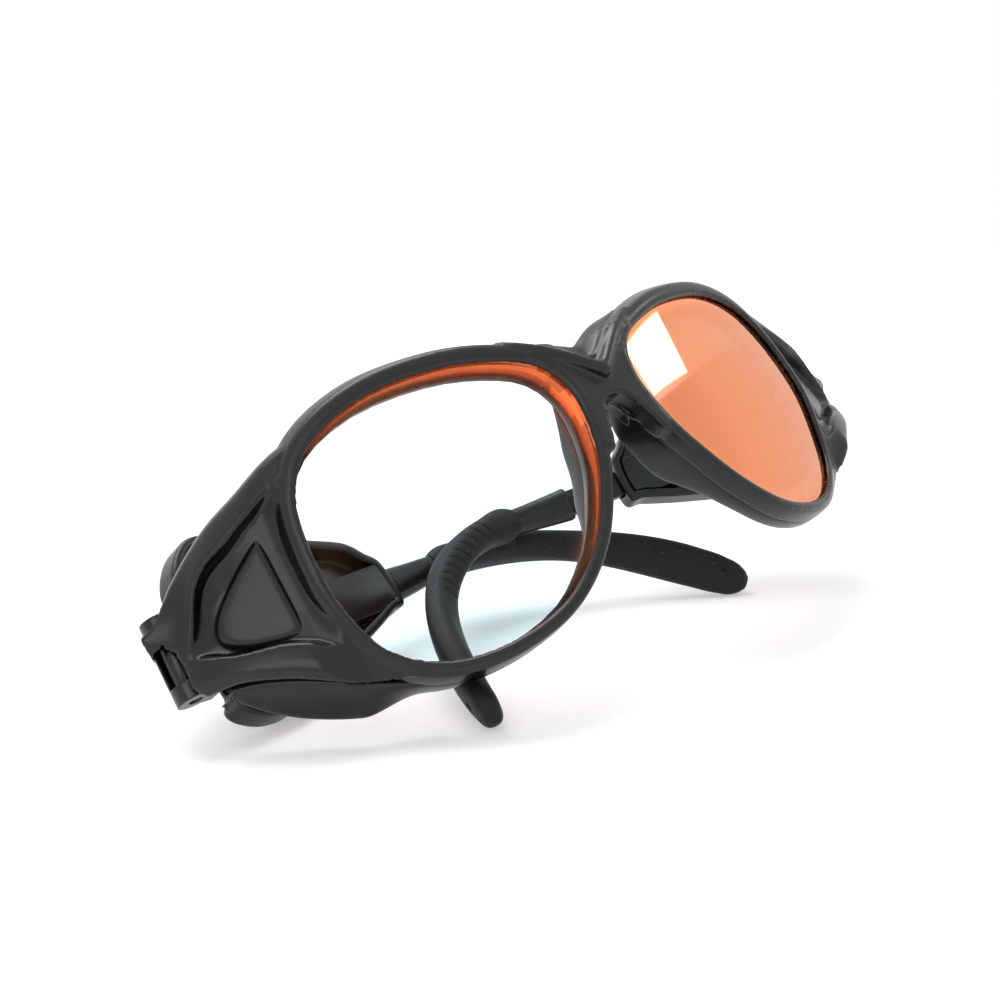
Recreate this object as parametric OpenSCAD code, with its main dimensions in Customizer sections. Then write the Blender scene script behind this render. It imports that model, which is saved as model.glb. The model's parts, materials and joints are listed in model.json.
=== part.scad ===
// Laser safety glasses: a wrap-round front frame with thick filter lenses, and folding temples
// that tilt, slide in and out, and end in rubber ear tips bent by hand.
// Lengths are in mm. Every piece is drawn on the frame as it is worn, X to the side, Y back
// towards the head and Z up, with the bridge at the middle. Then the whole is laid down as it
// rests, on one temple head and both ear tips.

/* [Lenses] */
// Distance from the middle plane to each lens centre
lens_x = 30.5; // [30:0.1:31.5]
// Height of the lens centre above the bridge datum
lens_z = -0.2; // [-1:0.1:0.5]
// Half the width of the lens opening
lens_half_w = 23.5; // [22.5:0.1:24]
// Half the height of the lens opening
lens_half_h = 22; // [21:0.1:23]
// Thickness of the lens
lens_t = 3; // [2.4:0.1:3.4]
// Radius of the face curve, seen from above
face_r = 105; // [100:1:120]
// How fast the lower part of the face sweeps back
lower_sweep = 0.0043; // [0.0035:0.0001:0.005]

/* [Rims] */
// Depth of the lip in front of the lens
lip_t = 1.2; // [0.9:0.1:1.5]
// Cover of the lip over the edge of the lens
lip_cover = 1.1; // [0.9:0.05:1.3]
// Width of the rim at the nose
rim_w = 2.3; // [2.1:0.1:2.6]
// Extra width of the rim under the brow, at the front
brow_w = 1; // [0.6:0.1:1.6]
// Extra width of the rim under the brow, at the back
brow_back_w = 2.6; // [2:0.1:3.2]
// Depth of the rim from front to back
rim_depth = 7; // [6.8:0.1:8]
// Height of the retainer ring behind the lens
retainer_t = 2.2; // [1.6:0.1:2.4]

/* [Bridge] */
// How far the brow point stands in front of the face curve
brow_reach = 2.1; // [1.5:0.1:3]
// Height of the top edge of the brow point
brow_point_z = 11.4; // [10.5:0.1:12.5]
// Thickness of the brow ledge
ledge_t = 2.7; // [2:0.1:3.2]
// Depth of the ridge behind the brow point
ridge_depth = 5; // [4.6:0.1:5.6]
// Height of the ridge above the brow point
ridge_rise = 6; // [5:0.1:6.6]
// Height of the nose arch
arch_z = 6; // [5.5:0.1:6.5]

/* [Side webs] */
// Depth of the panel floor under the ribs
floor_depth = 2.6; // [2.2:0.1:2.8]
// Thickness of the side web behind the floor
web_t = 1.7; // [1.4:0.1:2]
// Height of the side panel above its floor
panel_t = 2.1; // [1.6:0.1:2.4]

/* [Lower guards] */
// Thickness of the guard's leaves behind the rim
guard_t = 1.8; // [1.4:0.1:2]
// Thickness of the guard where it laps over the rim
guard_lap = 0.7; // [0.6:0.05:0.8]
// Depth at which the guard starts behind the rim's front
guard_start = 4; // [3.8:0.1:4.4]
// Depth that the nose leaf reaches behind the rim's front
leaf_depth = 12; // [10:0.1:13]
// Depth that the thin strip reaches behind the rim's front
strip_depth = 7.6; // [7.4:0.1:8]

/* [Hinges] */
// Distance from the middle plane to each fold axis
hinge_x = 74.1; // [73.6:0.1:74.6]
// Distance of the fold axes behind the bridge
hinge_y = 33.3; // [33:0.1:33.6]
// Height of the middle of the hinge
hinge_z = -0.4; // [-0.6:0.1:-0.2]
// Height of the frame's knuckle
knuckle_h = 6.4; // [5.6:0.1:6.8]
// Radius of the knuckle
knuckle_r = 2; // [1.9:0.05:2.1]
// Height of the upper ear of the yoke
upper_ear_h = 4.5; // [4:0.1:5]
// Height of the lower ear of the yoke
lower_ear_h = 2.8; // [2.4:0.1:3.4]
// Radius of the ears
ear_r = 2.9; // [2.8:0.05:3]
// Radius of the hinge pin
pin_r = 1; // [0.8:0.05:1.2]
// Angle by which the left temple is folded in from straight back
fold_left = 68.85; // [60:0.05:68.85]
// Angle by which the right temple is folded in from straight back
fold_right = 76.4; // [72:0.05:76.4]

/* [Tilt] */
// Distance from the fold axis to the tilt screw
tilt_y = 9; // [8.6:0.1:9.4]
// Radius of the tilt screw
screw_r = 1.4; // [1.2:0.05:1.5]
// Angle by which the temples rise from level
tilt = 5; // [3:0.1:7]

/* [Temple heads] */
// Distance from the fold axis to the plane of the arm
arm_off = 0.7; // [0.5:0.1:0.9]
// Thickness of the head's outer wall
head_wall = 1.3; // [1.1:0.1:1.6]
// Width of the raised edge round the head
head_edge = 1.8; // [1.4:0.1:2.2]
// Depth of the head on the inner side of the arm plane
head_inner = 2.6; // [2.5:0.05:3]
// Thickness of the cover over the slide channel
cover_t = 1.2; // [1:0.1:1.3]
// Distance from the fold axis to the end of the head
head_end = 49.5; // [49:0.1:50]

/* [Arms] */
// Height of the slide bar inside the head
bar_h = 5; // [4.4:0.1:5.4]
// Thickness of the slide bar and of the yoke's tongue
bar_t = 2.2; // [2:0.05:2.4]
// Distance of the bar's inner end from the fold axis, pushed in
bar_start = 18; // [17.5:0.1:19]
// How far the left arm is pulled out of its head
slide_left = 0; // [0:0.05:2]
// How far the right arm is pulled out of its head
slide_right = 11.25; // [9:0.05:12]
// Height of the arm next to the head
arm_h = 7; // [6.4:0.1:7.4]
// Height of the arm next to the ear tip
arm_end_h = 5; // [4.6:0.1:5.2]
// Thickness of the arm
arm_t = 3.8; // [3.4:0.1:4]
// Radius of the arm's bow round the wearer's head
bow_r = 65.5; // [60:0.5:75]
// Distance from the fold axis to the ear tip, pushed in
tip_start = 62.7; // [61:0.1:64]

/* [Ear tips] */
// Length of the ear tip along its middle
tip_len = 69; // [66:0.5:72]
// Height of the ear tip at its start
tip_h = 6; // [5.8:0.1:6.4]
// Height of the ear tip near its rounded end
tip_end_h = 8.4; // [7.8:0.1:8.8]
// Thickness of the ear tip
tip_t = 4.5; // [4.3:0.1:4.6]
// Angle through which the left ear tip bends down
drop_left = 52.6; // [50:0.2:55]
// Angle through which the right ear tip bends down
drop_right = 44.8; // [42:0.2:48]
// Angle through which the left ear tip wraps round
wrap_left = 29.6; // [27:0.2:32]
// Angle through which the right ear tip wraps round
wrap_right = 74.6; // [72:0.2:77]
// Width of the metal core
core_w = 2.4; // [2:0.1:2.6]
// Thickness of the metal core
core_t = 1.4; // [1.2:0.1:1.5]
// Radius of the cord hole near the end
cord_hole_r = 0.8; // [0.6:0.05:1]

/* [Fits] */
// Clearance between pieces that are pressed or set into each other
fit_gap = 0.05; // [0.04:0.01:0.08]
// Clearance between pieces that turn or slide in each other
run_gap = 0.15; // [0.12:0.01:0.2]
// Clearance of a pin in its bore
pin_gap = 0.03; // [0.02:0.01:0.06]

/* [Resting pose] */
// Angle by which the frame leans back as it rests
lean_back = 36.95; // [36.5:0.05:37.5]
// Angle by which the frame leans to the side as it rests
lean_side = 8.45; // [8:0.05:9]
// Distance of the bridge datum behind the middle of the resting object
rest_back = -21.26; // [-22:0.01:-20]
// Distance of the bridge datum to the side of the middle of the resting object
rest_side = -2.19; // [-3:0.01:-1]

/* [Hidden] */
$fn = 48;
eps = 0.01;

// Lens outline, as shares of the half width and half height, from the side over the top
lens_shape = [[1, .03], [.95, .5], [.74, .83], [.32, .985], [-.2, .96], [-.6, .845], [-.88, .68],
    [-.995, .4], [-.955, .05], [-.84, -.26], [-.59, -.65], [-.25, -.92], [.15, -1], [.53, -.92],
    [.82, -.67], [.96, -.3]];
// Points worked out between two points of an outline
outline_steps = 3;
// How proudly the brow's front edge bulges in front of the side plane
crest_q = .6;

// Smooth curve through points: the value a share t of the way from point i to the next
function spline(p, i, t, n) = let (a = p[(i + n - 1) % n], b = p[i % n], c = p[(i + 1) % n],
    d = p[(i + 2) % n])
    .5 * (2 * b + (c - a) * t + (2 * a - 5 * b + 4 * c - d) * t * t + (3 * b - a - 3 * c + d) * t * t * t);
function smooth(p, steps) = [for (i = [0:len(p) - 1], k = [0:steps - 1])
    spline(p, i, k / steps, len(p))];
function unit(v) = v / norm(v);

// Face curve: how far the frame's front lies back at each place
function face_y(x, z) = 1.4 + x * x / (2 * face_r) + lower_sweep * x * (sqrt(z * z + 16) - z) / 2;

// Lens outline in mm, and its outward direction at each point
lens_line = [for (p = smooth(lens_shape, outline_steps))
    [lens_x + lens_half_w * p.x, lens_z + lens_half_h * p.y]];
line_n = len(lens_line);
lens_out = [for (i = [0:line_n - 1])
    let (d = unit(lens_line[(i + 1) % line_n] - lens_line[(i + line_n - 1) % line_n])) [d.y, -d.x]];
function turned(i) = (i + 10 * line_n) % line_n;
// A point beside the outline: grown outwards by g and set back by d from the face curve
function rim_pt(i, g, d) = let (k = turned(i), p = lens_line[k] + g * lens_out[k])
    [p.x, face_y(p.x, p.y) + d, p.y];
function ring(g, d) = [for (i = [0:line_n - 1]) rim_pt(i, is_list(g) ? g[i] : g, d)];
// The lens surface inside the outline, at share k of the way from its middle
function lens_ring(k, g, d) = [for (i = [0:line_n - 1])
    let (e = lens_line[i] + g * lens_out[i], p = [lens_x, lens_z] + k * (e - [lens_x, lens_z]))
    [p.x, face_y(p.x, p.y) + d, p.y]];
lens_mid = [lens_x, face_y(lens_x, lens_z), lens_z];

// How much of the brow each point of the rim carries, 1 at the top and 0 at the bottom
brow_share = [for (n = lens_out) pow(max(0, n.y), 1.5)];
front_w = [for (b = brow_share) rim_w + brow_w * b];
back_w = [for (b = brow_share) rim_w + .2 + brow_back_w * b];

// Faces turned so that their solid is not inside out
function turned_out(points, faces) = [for (f = faces) points[f[0]] * cross(points[f[1]], points[f[2]])]
    * [for (f = faces) 1] > 0 ? [for (f = faces) [f[0], f[2], f[1]]] : faces;
module solid(points, faces) polyhedron(points, turned_out(points, faces), convexity = 8);

// Solid skinned over rings of points, with a point in the middle of each end
module skin(rings, cap_a, cap_b) {
    n = len(rings[0]);
    m = len(rings);
    points = concat([for (r = rings) each r], [cap_a, cap_b]);
    sides = [for (j = [0:m - 2], i = [0:n - 1], h = [0, 1])
        let (a = j * n + i, b = j * n + (i + 1) % n) h == 0 ? [a, a + n, b] : [b, a + n, b + n]];
    last = (m - 1) * n;
    ends = [for (i = [0:n - 1], h = [0, 1])
        h == 0 ? [(i + 1) % n, m * n, i] : [last + i, m * n + 1, last + (i + 1) % n]];
    solid(points, concat(sides, ends));
}

function middle(r) = [for (k = [0:2]) let (v = [for (p = r) p[k]]) v * [for (p = r) 1] / len(r)];
module loft(rings) skin(rings, middle(rings[0]), middle(rings[len(rings) - 1]));

// Hollow solid of rings outside and inside, open at its first end and closed at its last
module sleeve(outer, inner) {
    n = len(outer[0]);
    all = concat(outer, [for (j = [len(inner) - 1:-1:0]) inner[j]]);
    points = concat([for (r = all) each r],
        [middle(outer[len(outer) - 1]), middle(inner[len(inner) - 1])]);
    m = len(outer);
    t = len(all);
    walls = [for (j = [0:t - 1], i = [0:n - 1], h = [0, 1]) if (j != m - 1)
        let (a = j * n + i, b = j * n + (i + 1) % n, u = ((j + 1) % t) * n)
        h == 0 ? [a, u + i, b] : [b, u + i, u + (i + 1) % n]];
    ends = [for (i = [0:n - 1], h = [0, 1]) let (u = (i + 1) % n)
        h == 0 ? [(m - 1) * n + i, t * n, (m - 1) * n + u] : [m * n + u, t * n + 1, m * n + i]];
    solid(points, concat(walls, ends));
}

// Side web: its outer plane runs from the rim's side to just outside the hinge
side_from = [lens_x + lens_half_w, face_y(lens_x + lens_half_w, 0) + 1.2];
side_to = [hinge_x + 2.65, hinge_y - 2.55];
side_dir = unit(side_to - side_from);
side_out = [side_dir.y, -side_dir.x];
side_len = norm(side_to - side_from);
// A point of the side: share f of the way to the hinge, height z, and q outwards from the plane
function side_pt(f, z, q) = let (p = side_from + f * side_len * side_dir + q * side_out) [p.x, p.y, z];
// Heights along the side as shares of the lens half height: brow top, rib edges and lower edge
brow_top = [[-.28, 1.045], [0, .985], [.25, .87], [.49, .76], [.78, .54], [1, .33]];
rib_edge = [[-.28, .93], [.1, .66], [.38, .5], [.65, .33], [.82, .0]];
low_edge = [[-.28, -.72], [.045, -.53], [.285, -.34], [.61, -.21], [.82, -.1]];
low_end = [[-.28, -.97], [.084, -.765], [.43, -.53], [.69, -.39], [.9, -.35], [1, -.33]];
side_stations = [-.28, -.12, 0, .08, .16, .25, .38, .52, .65, .74, .8, .86, .92, 1.06];
function share(table, f) = lens_half_h * lookup(f, table);
function floor_at(f) = floor_depth * lookup(f, [[-.1, -.3], [0, -.25], [.04, .1], [.1, .6], [.16, .9],
    [.22, 1], [.74, 1], [.8, .5], [.86, .1], [.9, 0]]);
// Section of the side web: height and distance outwards, round from its top over the outside
function side_section(f) = let (
    top = share(brow_top, f), rib = share(rib_edge, f), low = share(low_edge, f), end = share(low_end, f),
    crest = lookup(f, [[-.28, .1], [.2, crest_q], [.9, .35], [1.06, .8]]),
    bevel = lookup(f, [[.85, -.7], [1.06, 0]]), lip = min(.5, (rib - low) / 4),
    back = floor_depth + lookup(f, [[.6, web_t], [.85, 1]]),
    back_top = back + lookup(f, [[.6, .6], [.85, .1]]),
    sink = lookup(f, [[.9, 0], [1.06, 2]]), pit = floor_at(f) + sink)
    [[top, -3.6], [top - 1.4, bevel], [top - 2.6, crest], [rib + .5, crest - .3 - sink],
    [rib, crest - .6 - sink], [rib - lip, -pit], [low + lip, -pit], [low, -.5 - sink],
    [low - .5, -.15 - sink], [(low + end) / 2 - 1, .2 - sink], [end + .6, -.5 - sink],
    [end, -1.6 - sink], [end + 1.4, -back], [low, -back], [rib, -back], [top - 1.2, -back_top]];

module side_web() loft([for (f = side_stations) [for (s = side_section(f)) side_pt(f, s[0], s[1])]]);

// Opening for the lens: a bevelled mouth, the lip, and the pocket behind it, open to the back
opening_back = rim_depth + 14;
module lens_opening() skin([ring(.7, -4), ring(.7, -.05), ring(0, .7), ring(.15, lip_t),
    ring(lip_cover, lip_t), ring(lip_cover, opening_back)],
    lens_mid - [0, 4, 0], lens_mid + [0, opening_back, 0]);

// How far the guard sits on each point of the rim: 1 along it and 0 under the brow
guard_first = 20;
guard_last = 40;
guarded = [for (i = [0:line_n - 1]) i >= guard_first && i <= guard_last ? 1 : 0];
rebate = [for (i = [0:line_n - 1]) back_w[i] - guarded[i] * (guard_lap + fit_gap)];
// Rim with a bevelled front edge, the brow's sloping top, and a step that the lower guard laps over
module rim_body() skin([ring([for (w = front_w) w - .7], 0), ring(front_w, .5),
    ring(back_w, guard_start), ring(rebate, guard_start + eps), ring([for (w = rebate) w - .3], rim_depth)],
    lens_mid, lens_mid + [0, rim_depth, 0]);

// Brow over the bridge: a pointed ledge in front and a ridge behind it
brow_x = [-14, -9.5, -5, 0, 5, 9.5, 14];
function brow_rise(x) = abs(x) * 1.02 - x * x * .021;
function brow_z(x) = brow_point_z + brow_rise(x);
function brow_front(x) = face_y(x, brow_z(x)) - brow_reach * (1 - abs(x) / brow_x[6]) + .3;
function ledge_section(x) = [[.3, -ledge_t], [0, .4 - ledge_t], [0, -.4], [.4, 0], [2.2, 1], [4, -1],
    [3.4, -ledge_t - .4]];
function ridge_section(x) = let (d = ridge_depth + abs(x) * .1, h = ridge_rise - abs(x) * .33)
    [[2.4, -1.2], [2.6, 1.3], [d - .6, h], [d + .4, h - .2], [d + .8, h - 1.2], [d + .6, -3]];
// Width of the flat left at each bend of the brow
bend_w = .3;
module across_x(x, shape) translate([x - bend_w / 2, 0, 0]) rotate([90, 0, 90]) linear_extrude(bend_w)
    translate([brow_front(x), brow_z(x)]) polygon(shape);
module brow_ledge() for (i = [0:len(brow_x) - 2]) hull() {
    across_x(brow_x[i], ledge_section(brow_x[i]));
    across_x(brow_x[i + 1], ledge_section(brow_x[i + 1]));
}
module brow_ridge() for (i = [0:len(brow_x) - 2]) hull() {
    across_x(brow_x[i], ridge_section(brow_x[i]));
    across_x(brow_x[i + 1], ridge_section(brow_x[i + 1]));
}

// Bridge plate from the brow down to the nose arch, where it splits into both rims. Its back part
// stays between the nose leaves of the guards.
bridge_front = [[0, arch_z], [1.8, arch_z - .4], [3.1, arch_z - 2.2], [4.2, arch_z - 5], [6, arch_z - 9],
    [9.5, arch_z - 6], [11, 8], [12, 17], [7, 18.5], [0, 14]];
bridge_back = [[0, arch_z], [1.8, arch_z - .4], [3.1, arch_z - 2.2], [3.8, arch_z - 4], [4.1, 11],
    [4.1, 16], [0, 14]];
function both_halves(half) = concat(half, [for (i = [len(half) - 2:-1:1]) [-half[i].x, half[i].y]]);
module bridge_layer(half, y0, y1) translate([0, y1, 0]) rotate([90, 0, 0])
    linear_extrude(y1 - y0) polygon(both_halves(half));
module bridge_plate() {
    bridge_layer(bridge_front, 1.6, guard_start + 1.5);
    bridge_layer(bridge_back, guard_start + 1, rim_depth + 1);
}

// Middle of the knuckle's leg in the frame, seen from above
leg_from = side_from + .84 * side_len * side_dir - 2.1 * side_out;
leg_to = [hinge_x, hinge_y] - side_dir + .85 * side_out;
leg_t = 1.6;
module leg(gap) hull() for (p = [leg_from, leg_to])
    translate([p.x, p.y, hinge_z - knuckle_h / 2 + .5 - gap])
    rotate([0, 0, atan2(side_dir.y, side_dir.x)]) translate([-.5 - gap, -leg_t / 2 - gap, 0])
    cube([1 + 2 * gap, leg_t + 2 * gap, knuckle_h - 1 + 2 * gap]);

// Room in the frame's end for the ears, the knuckle and its leg
module hinge_room() {
    translate([hinge_x, hinge_y, -30]) cylinder(r = ear_r + 3 * run_gap, h = 60);
    leg(fit_gap);
}

module half_frame() difference() {
    union() {
        difference() {
            rim_body();
            guard_notch();
        }
        difference() {
            side_web();
            lower_guard(2 * fit_gap);
        }
    }
    hinge_room();
}

module front_frame() color([.09, .09, .1]) difference() {
    union() {
        half_frame();
        mirror([1, 0, 0]) half_frame();
        bridge_plate();
        brow_ledge();
        brow_ridge();
    }
    lens_opening();
    mirror([1, 0, 0]) lens_opening();
}

// Lens: a domed plate that follows the face curve, set against the lip from behind
lens_g = lip_cover - fit_gap;
lens_d = lip_t + fit_gap;
module lens() skin([for (k = [.35, .7, 1]) lens_ring(k, lens_g - (k == 1 ? .4 : 0), lens_d),
    lens_ring(1, lens_g, lens_d + .4), for (k = [1, .7, .35]) lens_ring(k, lens_g, lens_d + lens_t)],
    lens_mid + [0, lens_d, 0], lens_mid + [0, lens_d + lens_t, 0]);

// Retainer: a thin ring behind the lens, snapped into the pocket
retainer_w = 1.3;
module retainer() {
    d0 = lens_d + lens_t + fit_gap;
    inner = lens_g - retainer_w;
    rings = [ring(lens_g, d0), ring(lens_g, d0 + retainer_t), ring(inner + .3, d0 + retainer_t),
        ring(inner, d0)];
    points = [for (r = rings) each r];
    faces = [for (j = [0:3], i = [0:line_n - 1], h = [0, 1])
        let (a = j * line_n + i, b = j * line_n + (i + 1) % line_n, u = ((j + 1) % 4) * line_n)
        h == 0 ? [a, u + i, b] : [b, u + i, u + (i + 1) % line_n]];
    solid(points, faces);
}

// Side panel: raised triangle with bevelled edges, set on the floor of the side web
panel_shape = [[.225, .48], [.225, -.31], [.42, -.27], [.62, -.16], [.7, -.05], [.68, .09], [.5, .27]];
module panel_at(in, q0, t) {
    mid = [.4, .02];
    plane = [for (p = panel_shape) let (v = mid + (1 - in) * (p - mid)) [side_len * v.x, lens_half_h * v.y]];
    translate([side_from.x, side_from.y, 0] + [side_out.x, side_out.y, 0] * q0)
        rotate([0, 0, atan2(side_dir.y, side_dir.x)]) rotate([90, 0, 0]) linear_extrude(t) polygon(plane);
}

module side_panel() hull() {
    panel_at(0, fit_gap - floor_depth, panel_t / 2);
    panel_at(.16, fit_gap - floor_depth, panel_t);
}

// Lower guard: stations along the rim from the nose to the side, then along the side's lower edge
function guard_depth(i) = lookup(i, [[20, 7.6], [21.5, 10], [23, leaf_depth], [27, leaf_depth],
    [28.8, strip_depth + 1], [30.5, strip_depth], [37, strip_depth], [40, strip_depth + 2]]);
// Sections of the guard, grown on every side by a given room
function rim_station(i, room) = let (w = back_w[turned(i)], g = w - guard_lap - room,
    start = guard_start + fit_gap - room, d = guard_depth(i) + room, r = rim_depth + 2 * fit_gap - room,
    inner = w - guard_t - room, outer = w + room + lookup(i, [[27, .15], [31, -.2]]),
    edge = w + lookup(i, [[27, -.4], [31, -.8]])) [
    rim_pt(i, g, start), rim_pt(i, w + room, start), rim_pt(i, outer, d - .7), rim_pt(i, edge, d),
    rim_pt(i, inner + .2, d - .1), rim_pt(i, inner - .1, d - .8), rim_pt(i, inner, r), rim_pt(i, g, r)];
function side_station(f, room) = let (z = share(low_end, f),
    low = z - room - lookup(f, [[.1, 4.6], [.3, 5.9], [.5, 5.8], [.66, 4.2], [.76, 2]]),
    deep = room + lookup(f, [[.1, 8], [.5, 7], [.76, 5.6]])) [
    side_pt(f, z + .6 + room, room - 3.1), side_pt(f, z - .6 - room, room - 2.7),
    side_pt(f, low, .8 - deep + 2 * room), side_pt(f, low + .1, -deep),
    side_pt(f, low + .8 + room, -deep - .2), side_pt(f, low + 1.4 + 2 * room, .2 - deep),
    side_pt(f, z - .2 + room, -5.6 - room), side_pt(f, z + 1 + room, -5 - room)];
side_shares = [.14, .22, .3, .4, .5, .6, .7, .76];
// The guard, or with room around it the space that the frame leaves for it
module lower_guard(room = 0) loft(concat([for (i = [guard_first:guard_last]) rim_station(i, room)],
    [for (f = side_shares) side_station(f, room)]));
// Notch in the rim where the guard leaves it for the side
notch_from = .12;
notch_room = 2 * fit_gap;
module guard_notch() loft([for (t = [notch_from, 1])
    (1 - t) * rim_station(guard_last, notch_room) + t * side_station(side_shares[0], notch_room),
    side_station(side_shares[1], notch_room)]);

// Hinge bracket: the knuckle, and its leg let into the frame
module hinge_bracket() difference() {
    union() {
        translate([hinge_x, hinge_y, hinge_z - knuckle_h / 2]) cylinder(r = knuckle_r, h = knuckle_h);
        leg(0);
    }
    translate([hinge_x, hinge_y, hinge_z - knuckle_h]) cylinder(r = pin_r + pin_gap, h = 2 * knuckle_h);
}

// How deep the pin's ends lie below the ears
pin_in = .3;
pin_low = hinge_z - knuckle_h / 2 - run_gap - lower_ear_h + pin_in;
pin_top = hinge_z + knuckle_h / 2 + run_gap + upper_ear_h - pin_in;
module hinge_pin() translate([hinge_x, hinge_y, pin_low]) cylinder(r = pin_r, h = pin_top - pin_low);

// Places the right temple: X outwards, Y along the temple and Z up, from the fold axis
module fold(angle) translate([hinge_x, hinge_y, 0]) rotate([0, 0, angle]) children();
module tilted() translate([0, tilt_y, 0]) rotate([tilt, 0, 0]) translate([0, -tilt_y, 0]) children();

// Yoke: two ears round the knuckle, a web between them and the tongue for the tilt
web_from = knuckle_r + 1.5 * run_gap;
web_len = 2;
web_x = [1.6 - ear_r, ear_r - .9];
tongue_r = 4;
knuckle_room = knuckle_h / 2 + run_gap;
module ear(h) {
    cylinder(r = ear_r, h = h);
    translate([web_x[0], 0, 0]) cube([web_x[1] - web_x[0], web_from + web_len, h]);
}
module yoke() difference() {
    union() {
        translate([0, 0, hinge_z + knuckle_room]) ear(upper_ear_h);
        translate([0, 0, hinge_z - knuckle_room - lower_ear_h]) ear(lower_ear_h);
        translate([web_x[0], web_from - .6, hinge_z - knuckle_room - eps])
            cube([web_x[1] - web_x[0], web_len + .6, 2 * (knuckle_room + eps)]);
        intersection() {
            translate([0, 0, hinge_z - knuckle_room - eps]) cylinder(r = ear_r, h = 2 * (knuckle_room + eps));
            translate([.9, -ear_r, -20]) cube([ear_r, ear_r + 2.2, 40]);
        }
        translate([arm_off - bar_t / 2, web_from + web_len - eps, -tongue_r])
            cube([bar_t, tilt_y - web_from - web_len, 2 * tongue_r]);
        translate([arm_off - bar_t / 2, tilt_y, 0]) rotate([0, 90, 0]) cylinder(r = tongue_r, h = bar_t);
    }
    translate([0, 0, -20]) cylinder(r = pin_r + pin_gap, h = 40);
    translate([0, 0, hinge_z - knuckle_room]) cylinder(r = web_from, h = 2 * knuckle_room);
    translate([arm_off - 3, tilt_y, 0]) rotate([0, 90, 0]) cylinder(r = screw_r + pin_gap, h = 6);
}

// Tilt screw: a slotted head inside, its shank through the tongue and into the head's wall
screw_head_h = 1;
screw_in = 1;
module tilt_screw() difference() {
    translate([arm_off - bar_t / 2 - run_gap, tilt_y, 0]) rotate([0, 90, 0]) {
        cylinder(r = screw_r, h = bar_t + 2 * run_gap + screw_in - fit_gap);
        translate([0, 0, -screw_head_h]) cylinder(r = 2 * screw_r, h = screw_head_h);
    }
    translate([arm_off - bar_t / 2 - run_gap - screw_head_h - .4, tilt_y - 4, -.35]) cube([.9, 8, .7]);
}

// Temple head: outline seen from the side, along the temple and up
head_shape = [[6.3, -5.6], [6.2, -7.2], [4.9, -8.7], [5.4, -10.4], [7.8, -12.2], [11, -13.3],
    [15, -13.4], [20, -12.2], [30, -9.8], [40, -7], [46, -5], [head_end, -4], [head_end, 4], [47, 7],
    [43.5, 10.2], [36, 12.8], [26, 16], [18, 18.6], [13.4, 19.2], [10.4, 18.2], [7.4, 15.4],
    [5.6, 12.4], [5.4, 10.4], [6.2, 9], [6.4, 7]];
head_line = smooth(head_shape, 2);
// Step between the head's outer face and its side edge
head_bevel = .5;
head_outer = bar_t / 2 + run_gap + head_wall;
// Draws a flat shape in the temple's plane, from x0 to x1 across it
module across(x0, x1) translate([arm_off + x0, 0, 0]) rotate([90, 0, 90])
    linear_extrude(x1 - x0) children();
bar_room = bar_h / 2 + run_gap;
rail_w = 1.6;
module head_rails() for (s = [1, -1])
    translate([bar_start - 3 * run_gap, s * (bar_room + rail_w / 2) - rail_w / 2])
        square([head_end - bar_start, rail_w]);

module temple_head() difference() {
    union() {
        across(head_outer - head_wall, head_outer) offset(delta = -head_bevel) polygon(head_line);
        across(head_outer - head_wall - eps, head_outer - head_bevel) polygon(head_line);
        across(-head_inner, head_outer - head_wall) difference() {
            polygon(head_line);
            offset(delta = -head_edge) polygon(head_line);
        }
        across(-head_inner + cover_t + 2 * fit_gap, head_outer - head_wall) intersection() {
            polygon(head_line);
            head_rails();
        }
    }
    across(-bar_t / 2 - run_gap, bar_t / 2 + run_gap)
        translate([head_end - 6, -bar_room]) square([12, 2 * bar_room]);
    across(-head_inner - 1, bar_t / 2 + run_gap) translate([0, -6.4]) square([9, 12.8]);
    translate([arm_off + bar_t / 2, tilt_y, 0]) rotate([0, 90, 0])
        cylinder(r = screw_r + fit_gap / 2, h = screw_in + run_gap);
}

// Head cover: closes the slide channel on the inner side
module head_cover() across(-head_inner, -head_inner + cover_t) intersection() {
    offset(delta = -head_edge - fit_gap) polygon(head_line);
    translate([bar_start - .2, -bar_room - rail_w]) square([40, 2 * (bar_room + rail_w)]);
}

// Middle line of the arm and ear tip in the temple's plane, by steps of 1 mm from the fold axis
function bow_at(s) = (min(s, tip_start) - min(s, head_end)) / bow_r * 180 / PI;
function bend(total, early, s) = let (t = max(0, s - tip_start) / tip_len)
    total * (early * t + (1 - early) * t * t);
function yaw_at(s, side) = bow_at(s) + (side < 0 ? bend(wrap_left, 2, s) : bend(wrap_right, 1.4, s));
function drop_at(s, side) = side < 0 ? bend(drop_left, 1.72, s) : bend(drop_right, 3.05, s);
function heading(s, side) = let (y = yaw_at(s, side), d = drop_at(s, side) - tilt)
    [-sin(y) * cos(d), cos(y) * cos(d), -sin(d)];
path_n = floor(tip_start + tip_len);
function path(side) = [for (i = 0, p = [arm_off, 0, 0]; i <= path_n;
    p = p + untilt(heading(i, side)), i = i + 1) p];
function untilt(v) = [v.x, v.y * cos(tilt) + v.z * sin(tilt), v.z * cos(tilt) - v.y * sin(tilt)];
path_left = path(-1);
path_right = path(1);
function on_path(s, side) = let (p = side < 0 ? path_left : path_right, i = floor(s)) i >= path_n
    ? p[path_n] + (s - path_n) * untilt(heading(s, side)) : p[i] + (s - i) * (p[i + 1] - p[i]);

// Rounded section of height h and thickness t, square to the path
arm_sides = 12;
function section(s, side, h, t) = let (c = on_path(s, side), d = untilt(heading(s, side)),
    x = unit(cross(d, untilt([0, 0, 1]))), z = cross(x, d))
    [for (i = [0:arm_sides - 1]) let (a = (i + .5) * 360 / arm_sides, u = cos(a), v = sin(a))
    c + x * t / 2 * sign(u) * pow(abs(u), .75) + z * h / 2 * sign(v) * pow(abs(v), .75)];

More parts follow.
